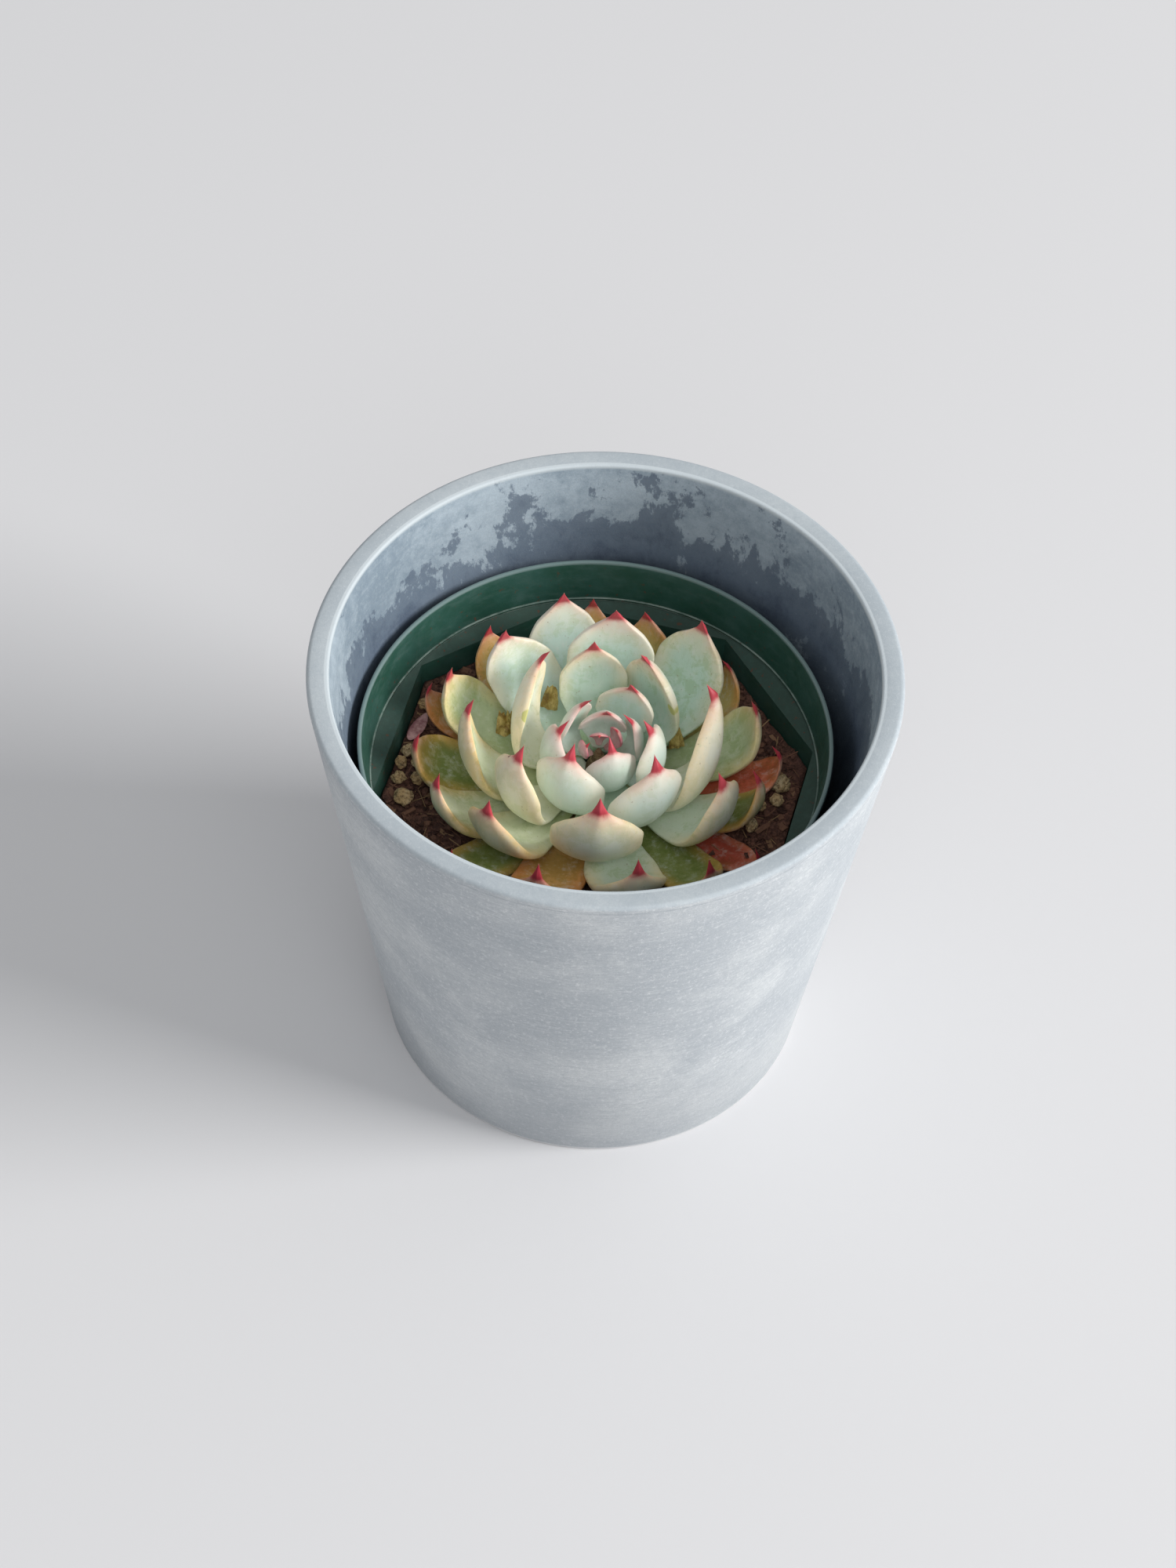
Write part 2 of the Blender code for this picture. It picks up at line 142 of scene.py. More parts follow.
def maths(tree, work, first, second=0.0, third=0.0):
    made = addNode(tree, "ShaderNodeMath", {"operation": work}, i0=first, i1=second)
    if work in ("MULTIPLY_ADD", "COMPARE"):
        made.inputs[2].default_value = third
    return made.outputs[0]


def plus(tree, first, second):
    return maths(tree, "ADD", first, second)


def minus(tree, first, second):
    return maths(tree, "SUBTRACT", first, second)


def times(tree, first, second):
    return maths(tree, "MULTIPLY", first, second)


def span(tree, value, low, high, toLow=0.0, toHigh=1.0):  # soft step from one range to another
    made = addNode(tree, "ShaderNodeMapRange", {"interpolation_type": "SMOOTHSTEP"}, Value=value)
    for name, number in (("From Min", low), ("From Max", high), ("To Min", toLow), ("To Max", toHigh)):
        made.inputs[name].default_value = number
    return made.outputs[0]


def blendColour(tree, share, first, second, kind="MIX"):
    made = addNode(tree, "ShaderNodeMix", {"data_type": "RGBA", "blend_type": kind},
                   i0=share, i6=first, i7=second)
    return made.outputs[2]


def layer(tree, under, over, value, low, high, strength=1.0):  # lays a screen colour on from low to high
    return blendColour(tree, span(tree, value, low, high, 0.0, strength), under, tint(*over))


def cloud(tree, where, scale, detail=4.0, roughness=0.55, distortion=0.0):
    made = addNode(tree, "ShaderNodeTexNoise", None, Vector=where, Scale=scale, Detail=detail,
                   Roughness=roughness, Distortion=distortion)
    return made.outputs[0]


def stretched(tree, where, x, y, z):
    return addNode(tree, "ShaderNodeMapping", None, Vector=where, Scale=(x, y, z)).outputs[0]


def slanted(tree, where, rotation, scale):
    return addNode(tree, "ShaderNodeMapping", None, Vector=where, Rotation=rotation, Scale=scale).outputs[0]


def heightOf(tree, where):
    return addNode(tree, "ShaderNodeSeparateXYZ", None, Vector=where).outputs["Z"]


def objectPlace(tree):
    return addNode(tree, "ShaderNodeTexCoord").outputs["Object"]


def number(tree, name):  # a value stored on the mesh
    return addNode(tree, "ShaderNodeAttribute", {"attribute_name": name}).outputs["Fac"]


def newGroup(name, inputs, outputs):
    group = bpy.data.node_groups.new(name, "ShaderNodeTree")
    kinds = {"number": "NodeSocketFloat", "colour": "NodeSocketColor", "vector": "NodeSocketVector"}
    for label, kind in inputs:
        group.interface.new_socket(label, in_out="INPUT", socket_type=kinds[kind])
    for label, kind in outputs:
        group.interface.new_socket(label, in_out="OUTPUT", socket_type=kinds[kind])
    start = group.nodes.new("NodeGroupInput")
    end = group.nodes.new("NodeGroupOutput")
    return group, start.outputs, end.inputs


def useGroup(tree, group, **sockets):
    return addNode(tree, "ShaderNodeGroup", {"node_tree": group}, **sockets).outputs


def newMaterial(name, **fixed):  # a material with its Principled shader and the values that never vary
    material = bpy.data.materials.new(name)
    material.use_nodes = True
    tree = material.node_tree
    shader = tree.nodes["Principled BSDF"]
    for label, value in fixed.items():
        shader.inputs[label.replace("_", " ")].default_value = value
    return material, tree, shader


def relief(tree, shader, height, depth, strength=1.0):
    bump = addNode(tree, "ShaderNodeBump", None, Height=height, Strength=strength, Distance=depth)
    tree.links.new(bump.outputs[0], shader.inputs["Normal"])


# the camera's place in metres, its angles in degrees and its lens in mm, then the floor and the lights
view = {"place": (0.0, -0.690, 0.950), "turn": -0.28, "down": 51.416, "tilt": 2.22,
        "lens": 98.48, "sensor": 36}
light = {"world": 0.455, "worldTint": (0.98, 0.99, 1.0, 1.0), "floor": (217, 217, 219), "floorSize": 6,
         "windowLight": {"spot": (3.8, -0.7, 2.15), "target": (0, 0, 0.08), "side": 2.0, "power": 208.0,
                         "colour": (1.0, 0.99, 0.975)},
         "skyLight": {"spot": (0.4, -2.2, 2.5), "target": (0, 0, 0.05), "side": 2.0, "power": 20.0,
                      "colour": (0.98, 0.99, 1.0)}}


def setCamera():
    turn, down, tilt = (math.radians(view[name]) for name in ("turn", "down", "tilt"))
    ahead = Vector((math.sin(turn) * math.cos(down), math.cos(turn) * math.cos(down), -math.sin(down)))
    right = Vector((math.cos(turn), -math.sin(turn), 0))
    up = right.cross(ahead)
    tiltedRight = right * math.cos(tilt) + up * math.sin(tilt)
    tiltedUp = up * math.cos(tilt) - right * math.sin(tilt)
    lens = bpy.data.cameras.new("camera")
    lens.lens = view["lens"]
    lens.sensor_width = view["sensor"]
    lens.clip_start = 0.01
    camera = bpy.data.objects.new("camera", lens)
    bpy.context.collection.objects.link(camera)
    axes = Matrix((tiltedRight, tiltedUp, -ahead)).transposed().to_4x4()
    camera.matrix_world = Matrix.Translation(view["place"]) @ axes
    bpy.context.scene.camera = camera


def addPanel(name):
    plan = light[name]
    lamp = bpy.data.lights.new(name, "AREA")
    lamp.shape = "SQUARE"
    lamp.size = plan["side"]
    lamp.energy = plan["power"]
    lamp.color = plan["colour"]
    panel = bpy.data.objects.new(name, lamp)
    bpy.context.collection.objects.link(panel)
    panel.location = plan["spot"]
    aim = Vector(plan["target"]) - Vector(plan["spot"])
    panel.rotation_euler = aim.to_track_quat("-Z", "Y").to_euler()


def setStage():
    bpy.ops.mesh.primitive_plane_add(size=light["floorSize"], location=(0, 0, 0))
    floor = bpy.context.object
    floor.name = "floor"
    paint, tree, shader = newMaterial("floorPaint", Roughness=0.6)
    shader.inputs["Base Color"].default_value = tint(*light["floor"])
    floor.data.materials.append(paint)
    world = bpy.data.worlds.new("room")
    world.use_nodes = True
    sky = world.node_tree.nodes["Background"]
    sky.inputs["Color"].default_value = light["worldTint"]
    sky.inputs["Strength"].default_value = light["world"]
    bpy.context.scene.world = world
    addPanel("windowLight")
    addPanel("skyLight")
    bpy.context.scene.view_settings.view_transform = "Standard"


setCamera()
setStage()
print("camera, floor and light are set")


# the outer pot: sizes in mm, colours as on a screen
outerPot = {
    "sides": 192, "rows": 12, "wall": 5.8, "floor": 6.0, "footShare": 56 / 75,
    "rimRound": 1.4, "innerRound": 0.55, "footRound": 0.9, "floorRound": 2.5,
    "recess": 44.0, "recessDepth": 1.5, "recessRound": 0.4,
    "shell": {"dull": (178, 184, 189), "pale": (206, 210, 212), "slant": (176, 182, 188),
              "streak": (222, 225, 227), "brush": (160, 168, 176), "chalk": (230, 232, 234),
              "low": (160, 164, 168)},
    "lining": {"dull": (126, 142, 156), "pale": (168, 182, 193), "slant": (190, 202, 211),
               "chalk": (198, 209, 216), "deep": (104, 118, 132), "patch": (84, 98, 116),
               "patchHeart": (64, 76, 96)},
    "pores": (120, 128, 136), "rimTop": (170, 181, 188), "arris": (208, 216, 220),
    "groove": (120, 132, 142), "grooveBelow": 2.4, "sole": (228, 229, 230)}


def stoneGroup():  # fine pale streaks brushed round the pot outside, torn-edged clouds inside
    inputs = (("Place", "vector"), ("Inner", "number"), ("Depth", "number"))
    outputs = (("Colour", "colour"), ("Rough", "number"), ("Height", "number"))
    group, given, made = newGroup("brushedStone", inputs, outputs)
    spot, inner, depth = given["Place"], given["Inner"], given["Depth"]
    wide = cloud(group, stretched(group, spot, 26, 26, 34), 1.0, 4.0, 0.55, 0.3)
    streak = cloud(group, slanted(group, spot, (0.12, 0.1, 0), (110, 110, 1500)), 1.0, 4.0, 0.6, 0.3)
    slant = cloud(group, slanted(group, spot, (0.35, 0.3, 0), (150, 150, 620)), 1.0, 6.0, 0.72, 0.2)
    brush = cloud(group, slanted(group, spot, (0.5, 0.42, 0), (420, 420, 1900)), 1.0, 5.0, 0.75)
    mottle = cloud(group, spot, 240, 6.0, 0.7)
    chalk = cloud(group, spot, 900, 5.0, 0.75)
    fine = cloud(group, spot, 2400, 2.0, 0.6)

    tones = outerPot["shell"]
    shell = blendColour(group, span(group, wide, 0.36, 0.66), tint(*tones["dull"]), tint(*tones["pale"]))
    shell = layer(group, shell, tones["slant"], slant, 0.38, 0.68, 0.35)
    shell = layer(group, shell, tones["streak"], streak, 0.5, 0.74, 0.35)
    shell = layer(group, shell, tones["brush"], brush, 0.42, 0.7, 0.5)
    shell = layer(group, shell, tones["chalk"], chalk, 0.5, 0.7, 0.5)
    # painted shade: the shell is darkened towards the foot, near the floor
    shell = layer(group, shell, tones["low"], heightOf(group, spot), 45 * mm, 4 * mm, 0.35)

    tones = outerPot["lining"]
    uneven = plus(group, times(group, wide, 0.6), times(group, mottle, 0.4))
    lining = blendColour(group, span(group, uneven, 0.38, 0.62), tint(*tones["dull"]), tint(*tones["pale"]))
    lining = layer(group, lining, tones["slant"], slant, 0.45, 0.75, 0.2)
    lining = layer(group, lining, tones["chalk"], chalk, 0.45, 0.75, 0.25)
    # painted shade: the lining darkens deeper down inside the pot
    lining = blendColour(group, times(group, depth, 0.3), lining, tint(*tones["deep"]))
    torn = cloud(group, stretched(group, spot, 1, 1, 0.8), 66.0, 9.0, 0.66, 0.35)
    ragged = cloud(group, stretched(group, spot, 1, 1, 0.45), 420.0, 6.0, 0.75)
    edge = plus(group, torn, times(group, minus(group, ragged, 0.5), 0.32))
    edge = plus(group, edge, times(group, depth, 0.22))
    patch = span(group, edge, 0.575, 0.625)
    lining = blendColour(group, times(group, patch, 0.76), lining, tint(*tones["patch"]))
    lining = layer(group, lining, tones["patchHeart"], edge, 0.66, 0.86, 0.6)

    base = blendColour(group, inner, shell, lining)
    base = layer(group, base, outerPot["pores"], fine, 0.34, 0.75, 0.2)
    group.links.new(base, made["Colour"])
    wet = times(group, times(group, patch, inner), -0.12)
    group.links.new(plus(group, span(group, slant, 0.3, 0.7, 0.6, 0.72), wet), made["Rough"])
    group.links.new(plus(group, times(group, streak, 0.45), times(group, fine, 0.55)), made["Height"])
    return group


def potStone(brushed):
    material, tree, shader = newMaterial("potStone", Metallic=0.0, Specular_IOR_Level=0.35)
    shape, wall = outerPot["shape"], outerPot["wall"] * mm
    height = shape["height"]
    spot = objectPlace(tree)
    parts = addNode(tree, "ShaderNodeSeparateXYZ", None, Vector=spot).outputs
    flat = addNode(tree, "ShaderNodeCombineXYZ", None, X=parts["X"], Y=parts["Y"]).outputs[0]
    radius = addNode(tree, "ShaderNodeVectorMath", {"operation": "LENGTH"}, i0=flat).outputs["Value"]
    shell = maths(tree, "MULTIPLY_ADD", parts["Z"], shape["taper"], shape["foot"])
    inset = minus(tree, shell, radius)       # distance in from the outside
    inner = span(tree, inset, wall - 1.0 * mm, wall - 0.7 * mm)
    # how far down inside the pot, for the lining's painted shade and its patches
    depth = span(tree, parts["Z"], height - 5 * mm, height - 30 * mm)
    skin = useGroup(tree, brushed, Place=spot, Inner=inner, Depth=depth)
    top = span(tree, parts["Z"], height - 1.4 * mm, height - 0.3 * mm)
    colour = blendColour(tree, times(tree, top, 0.6), skin["Colour"], tint(*outerPot["rimTop"]))
    # painted highlight: a pale line along the rim's inner edge
    arris = times(tree, top, span(tree, inset, wall - 1.25 * mm, wall - 0.9 * mm))
    colour = blendColour(tree, times(tree, arris, 0.7), colour, tint(*outerPot["arris"]))
    # painted shadow: a thin dark line just under the rim on the outside
    line = maths(tree, "COMPARE", parts["Z"], height - outerPot["grooveBelow"] * mm, 0.25 * mm)
    groove = times(tree, line, maths(tree, "LESS_THAN", inset, 1.5 * mm))
    colour = blendColour(tree, times(tree, groove, 0.22), colour, tint(*outerPot["groove"]))
    # painted highlight: the rounded foot edge is paled, as if lit from the floor
    colour = layer(tree, colour, outerPot["sole"], parts["Z"], 1.5 * mm, 0.8 * mm, 0.7)
    tree.links.new(colour, shader.inputs["Base Color"])
    tree.links.new(skin["Rough"], shader.inputs["Roughness"])
    relief(tree, shader, skin["Height"], 0.14 * mm, 0.6)
    return material


def buildOuterPot():
    low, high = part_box("outer_pot")
    height, rim = high.z, high.x
    foot = outerPot["footShare"] * rim
    taper = (rim - foot) / height
    wall, floor, recess = (outerPot[name] * mm for name in ("wall", "floor", "recess"))
    outerPot["shape"] = {"height": height, "foot": foot, "taper": taper}
    bpy.ops.mesh.primitive_cone_add(vertices=outerPot["sides"], radius1=foot, radius2=rim, depth=height,
                                    end_fill_type="NGON", location=(0, 0, height / 2))
    pot = bpy.context.object
    pot.name = "outerPot"
    settle(pot)
    editFaces(pot, lambda centre, normal: normal.z > 0.9)
    bpy.ops.mesh.inset(thickness=wall)
    step = (height - floor) / outerPot["rows"]
    radius = rim - wall
    for row in range(outerPot["rows"]):
        nextRadius = radius - taper * step
        grow(nextRadius / radius, -step)
        radius = nextRadius
    bpy.ops.mesh.inset(thickness=radius * 0.5)
    leaveEdit()
    editFaces(pot, lambda centre, normal: normal.z < -0.9 and centre.z < 1 * mm)
    bpy.ops.mesh.inset(thickness=foot - recess)
    grow(0.98, outerPot["recessDepth"] * mm)
    leaveEdit()

    def ring(z, reach):  # the edges at one height and radius
        return lambda a, b: (abs(a.z - z) < 0.05 * mm and abs(b.z - z) < 0.05 * mm
                             and abs(math.hypot(a.x, a.y) - reach) < 0.3 * mm
                             and abs(math.hypot(b.x, b.y) - reach) < 0.3 * mm)

    rounds = ((height, rim, "rimRound", 6), (height, rim - wall, "innerRound", 3),
              (0.0, foot, "footRound", 3), (floor, radius, "floorRound", 5), (0.0, recess, "recessRound", 2))
    for z, reach, name, steps in rounds:
        editEdges(pot, ring(z, reach))
        bpy.ops.mesh.bevel(offset=outerPot[name] * mm, segments=steps, profile=0.5)
        leaveEdit()
    smoothBy(pot, 40)
    return pot


potPiece = buildOuterPot()
brushed = stoneGroup()
standIn(potPiece, potStone(brushed), "outer_pot")
print("outer pot is built")


# the nursery pot: sizes in mm, with the lip as steps in from the rim and down from the top,
# and the ribs as steps in from the band and up from the shelf
nurseryPot = {
    "sides": 160, "flats": 8, "turn": 9.5, "base": 6.3, "shelf": 90.5, "wall": 1.0, "band": 58.6,
    "corner": 58.0, "baseCorner": 48.6, "floor": 1.2, "bandRows": 6, "bodyRows": 10, "footRound": 1.6,
    "lip": ((0.1, 1.75), (0.0, 1.4), (0.0, 0.35), (0.12, 0.1), (0.35, 0.0), (0.75, 0.0), (1.0, 0.12),
            (1.12, 0.4)),
    "ribs": ((0.0, 1.9), (0.35, 1.75), (0.35, 1.35), (0.05, 1.15), (0.05, 0.75), (0.3, 0.55)),
    "ribLines": (1.9, 0.9), "holes": 6, "holeCircle": 28.0, "holeRadius": 3.5,
    "tones": {"deep": (36, 74, 62), "pale": (50, 86, 78), "film": (70, 98, 92), "dust": (52, 70, 62),
              "rib": (132, 148, 140), "grit": (86, 62, 48), "lip": (126, 146, 146)}}


def flatsShare(angle):  # how far a corner circle is pressed in, where it becomes a polygon
    half = math.pi / nurseryPot["flats"]
    return math.cos(half) / math.cos(angle % (2 * half) - half)


def pressFlats(piece, passes):
    for vertex in piece.data.vertices:
        if passes(vertex.co):
            share = flatsShare(math.atan2(vertex.co.y, vertex.co.x))
            vertex.co.x *= share
            vertex.co.y *= share


def nurseryPlastic():
    material, tree, shader = newMaterial("nurseryPlastic", Metallic=0.0, Specular_IOR_Level=0.45)
    tones, shelf, top = nurseryPot["tones"], nurseryPot["shelf"] * mm, nurseryPot["top"]
    spot = objectPlace(tree)
    rise = heightOf(tree, spot)
    broad = cloud(tree, spot, 70, 5.0, 0.65)
    film = cloud(tree, stretched(tree, spot, 160, 160, 420), 1.0, 6.0, 0.7)
    speck = cloud(tree, spot, 620, 3.0, 0.6)
    base = blendColour(tree, span(tree, broad, 0.35, 0.7), tint(*tones["deep"]), tint(*tones["pale"]))
    base = layer(tree, base, tones["film"], film, 0.45, 0.75, 0.5)
    low = times(tree, span(tree, rise, shelf - 0.6 * mm, shelf + 0.1 * mm),
                span(tree, rise, shelf + 2.2 * mm, shelf + 1.0 * mm))
    dust = times(tree, low, span(tree, speck, 0.3, 0.55, 0.5, 0.95))
    base = blendColour(tree, times(tree, dust, 0.7), base, tint(*tones["dust"]))
    # painted highlight: pale lines along the rib edges, broken up by the film noise
    for line in nurseryPot["ribLines"]:
        near = maths(tree, "COMPARE", rise, shelf + line * mm, 0.16 * mm)
        worn = times(tree, near, span(tree, film, 0.35, 0.6, 0.15, 0.8))
        base = blendColour(tree, worn, base, tint(*tones["rib"]))
    grit = times(tree, span(tree, speck, 0.66, 0.70), span(tree, rise, 103 * mm, 92 * mm, 0.5, 1.0))
    base = blendColour(tree, grit, base, tint(*tones["grit"]))
    # painted highlight: a pale line along the top of the lip, where light shows through the thin edge
    base = layer(tree, base, tones["lip"], rise, top - 0.9 * mm, top - 0.3 * mm, 0.75)
    tree.links.new(base, shader.inputs["Base Color"])
    rough = plus(tree, span(tree, film, 0.3, 0.7, 0.32, 0.5), times(tree, dust, 0.3))
    tree.links.new(rough, shader.inputs["Roughness"])
    relief(tree, shader, plus(tree, broad, times(tree, speck, 0.12)), 0.5 * mm, 0.35)
    return material


def buildNurseryPot():
    low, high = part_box("nursery_pot")
    base, top = low.z, high.z
    rim = (high.x - low.x) / 2
    wall, shelf, band, corner = (nurseryPot[name] * mm for name in ("wall", "shelf", "band", "corner"))
    baseCorner, circle = nurseryPot["baseCorner"] * mm, nurseryPot["holeCircle"] * mm
    nurseryPot["top"] = top
    bpy.ops.mesh.primitive_cone_add(vertices=nurseryPot["sides"], radius1=baseCorner, radius2=corner,
                                    depth=shelf - wall - base, end_fill_type="NGON",
                                    location=(0, 0, (base + shelf - wall) / 2))
    pot = bpy.context.object
    pot.name = "nurseryPot"
    settle(pot)
    editFaces(pot, lambda centre, normal: normal.z > 0.9)
    at = {"radius": corner, "height": shelf - wall}

    def go(radius, height):  # one more ring, at this radius and height
        grow(radius / at["radius"], height - at["height"])
        at["radius"], at["height"] = radius, height

    def run(rows, start, end):  # evenly spaced rings from one radius and height to another
        for row in range(1, rows + 1):
            go(*(first + (last - first) * row / rows for first, last in zip(start, end)))

    go(band, shelf - wall + 0.02 * mm)
    run(nurseryPot["bandRows"], (band, shelf - wall), (rim - 0.5 * mm, top - 1.9 * mm))
    for inward, below in nurseryPot["lip"]:
        go(rim - inward * mm, top - below * mm)
    run(nurseryPot["bandRows"], (at["radius"], at["height"]), (band - wall, shelf + 2.2 * mm))
    for inward, above in nurseryPot["ribs"]:
        go(band - wall - inward * mm, shelf + above * mm)
    go(corner - wall, shelf - 0.05 * mm)
    lowCorner = baseCorner - wall
    floor = base + nurseryPot["floor"] * mm
    run(nurseryPot["bodyRows"], (corner - wall, shelf), (lowCorner, floor + 1.5 * mm))
    go(lowCorner - 0.45 * mm, floor + 0.4 * mm)
    go(lowCorner - 1.5 * mm, floor)
    bpy.ops.mesh.inset(thickness=at["radius"] * 0.45)
    leaveEdit()
    pressFlats(pot, lambda co: co.z < shelf + 0.1 * mm and math.hypot(co.x, co.y) < corner + 0.2 * mm)
    editEdges(pot, lambda a, b: a.z < base + 0.1 * mm and b.z < base + 0.1 * mm)
    bpy.ops.mesh.bevel(offset=nurseryPot["footRound"] * mm, segments=4, profile=0.5)
    leaveEdit()
    for hole in range(nurseryPot["holes"]):
        angle = 2 * math.pi * hole / nurseryPot["holes"] - math.radians(nurseryPot["turn"])
        centre = (circle * math.cos(angle), circle * math.sin(angle), base)
        bpy.ops.mesh.primitive_cylinder_add(vertices=32, radius=nurseryPot["holeRadius"] * mm,
                                            depth=8 * mm, location=centre)
        cutter = bpy.context.object
        boolean = pot.modifiers.new("drain", "BOOLEAN")
        boolean.operation = "DIFFERENCE"
        boolean.solver = "EXACT"
        boolean.object = cutter
        applyModifiers(pot)
        bpy.data.objects.remove(cutter)
    pot.rotation_euler.z = math.radians(nurseryPot["turn"])
    pot.location.x = (low.x + high.x) / 2
    settle(pot)
    smoothBy(pot, 35)
    return pot


nurseryPiece = buildNurseryPot()
standIn(nurseryPiece, nurseryPlastic(), "nursery_pot")
print("nursery pot is built")


# the soil and the bits on it: sizes in mm, a bit's tone from 0, dark, to 1, pale
soil = {"rings": 56, "rough": 1.1, "bank": 3.4, "bankFrom": 0.6, "topAt": 80.5, "gap": 0.45, "seed": 11,
        "crumbs": 3800, "chips": 420, "fibres": 700, "crumbSize": (0.5, 2.2), "fibreLength": (2.5, 8),
        "fibreThick": 0.3, "chipSize": ((1.6, 4.2), (0.8, 2.0), (0.3, 0.7)),
        "chipTones": (0.15, 0.35, 0.6, 0.75, 0.9), "fibreTones": (0.4, 0.8, 0.95),
        "colours": {"dark": (60, 38, 34), "brown": (138, 98, 82), "damp": (86, 62, 58),
                    "bark": (140, 102, 82), "straw": (178, 146, 108), "peat": (44, 30, 28)}}


def soilEarth():
    material, tree, shader = newMaterial("soilEarth", Metallic=0.0, Specular_IOR_Level=0.3)
    colours = soil["colours"]
    spot = objectPlace(tree)
    tone = number(tree, "tone")
    grit = cloud(tree, spot, 900, 6.0, 0.75)
    broad = cloud(tree, spot, 150, 4.0, 0.6)
    base = blendColour(tree, span(tree, grit, 0.3, 0.7), tint(*colours["dark"]), tint(*colours["brown"]))
    base = layer(tree, base, colours["damp"], broad, 0.5, 0.7, 0.5)
    base = layer(tree, base, colours["bark"], tone, 0.55, 0.8)
    base = layer(tree, base, colours["straw"], tone, 0.84, 1.0)
    base = layer(tree, base, colours["peat"], tone, 0.3, 0.0, 0.75)
    tree.links.new(base, shader.inputs["Base Color"])
    tree.links.new(span(tree, grit, 0.2, 0.8, 0.95, 0.7), shader.inputs["Roughness"])
    relief(tree, shader, grit, 0.6 * mm, 0.9)
    return material


def soilHeight(x, y):  # the soil's surface, banked against the wall and lumpy
    reach = soil["corner"] * flatsShare(math.atan2(y, x))
    part = max(0.0, min(1.0, math.hypot(x, y) / reach) - soil["bankFrom"]) / (1 - soil["bankFrom"])
    spot = Vector((x, y, 0))
    lumps = noise.noise(spot / (9 * mm)) + 0.7 * noise.noise(spot / (3.4 * mm))
    lumps += 0.5 * noise.noise(spot / (1.3 * mm))
    return soil["top"] + soil["bank"] * mm * part * (2 - part) + soil["rough"] * mm * lumps


def crumbShape(kind, chooser):  # a small knocked-about form, one of three kinds
    if kind == "fibre":
        bpy.ops.mesh.primitive_cylinder_add(vertices=5, radius=0.5, depth=1, end_fill_type="TRIFAN",
                                            rotation=(0, math.pi / 2, 0))
    elif kind == "chip":
        bpy.ops.mesh.primitive_cube_add(size=1)
    else:
        bpy.ops.mesh.primitive_ico_sphere_add(subdivisions=1, radius=0.5)
    form = bpy.context.object
    settle(form)
    for vertex in form.data.vertices:
        vertex.co *= chooser.uniform(0.72, 1.2)
    points = np.array([vertex.co for vertex in form.data.vertices])
    faces = [tuple(face.vertices) for face in form.data.polygons]
    bpy.data.objects.remove(form)
    return points, faces


def scatterBits(reachAt):  # crumbs, bark chips and fibres strewn over the soil, in one piece
    chooser = random.Random(soil["seed"])
    points, faces, tones = [], [], []
    stock = {kind: [crumbShape(kind, chooser) for copy in range(5)] for kind in ("crumb", "chip", "fibre")}
    wanted = [("crumb", soil["crumbs"]), ("chip", soil["chips"]), ("fibre", soil["fibres"])]
    for kind, count in wanted:
        for bit in range(count):
            angle = chooser.uniform(0, 2 * math.pi)
            radius = reachAt(angle) * math.sqrt(chooser.uniform(0.3, 0.985))
            x, y = radius * math.cos(angle), radius * math.sin(angle)
            if kind == "crumb":
                least, spread = soil["crumbSize"]
                size = mm * (least + spread * chooser.random() ** 2.6)
                stretch = Vector((size * chooser.uniform(0.8, 1.5), size, size * chooser.uniform(0.5, 0.9)))
                tone = chooser.uniform(0.0, 0.8)
            elif kind == "chip":
                stretch = Vector([mm * chooser.uniform(*sizes) for sizes in soil["chipSize"]])
                tone = chooser.choice(soil["chipTones"])
            else:
                thick = mm * soil["fibreThick"]
                stretch = Vector((mm * chooser.uniform(*soil["fibreLength"]), thick, thick))
                tone = chooser.choice(soil["fibreTones"])
            if radius + stretch.x / 2 > reachAt(angle):
                continue
            swing, tip = chooser.uniform(0, 2 * math.pi), chooser.uniform(-0.3, 0.3)
            if kind == "fibre":    # a fibre lies flatter
                swing, tip = chooser.uniform(0, 2 * math.pi), chooser.uniform(-0.16, 0.16)
            turn = Matrix.Rotation(swing, 3, "Z") @ Matrix.Rotation(tip, 3, "Y")
            form, skin = chooser.choice(stock[kind])
            moved = (form * np.array(stretch)) @ np.array(turn).T
            moved += np.array((x, y, soilHeight(x, y) - moved[:, 2].min() - stretch.z * 0.35))
            if kind == "fibre":
                moved[:, 2] += mm * soil["fibreThick"]
            start = len(points)
            points.extend(moved.tolist())
            faces.extend(tuple(corner + start for corner in face) for face in skin)
            tones.extend([tone] * len(form))
    mesh = bpy.data.meshes.new("soilBits")
    mesh.from_pydata(points, [], faces)
    giveNumbers(mesh, "tone", tones)
    piece = bpy.data.objects.new("soilBits", mesh)
    bpy.context.collection.objects.link(piece)
    return piece


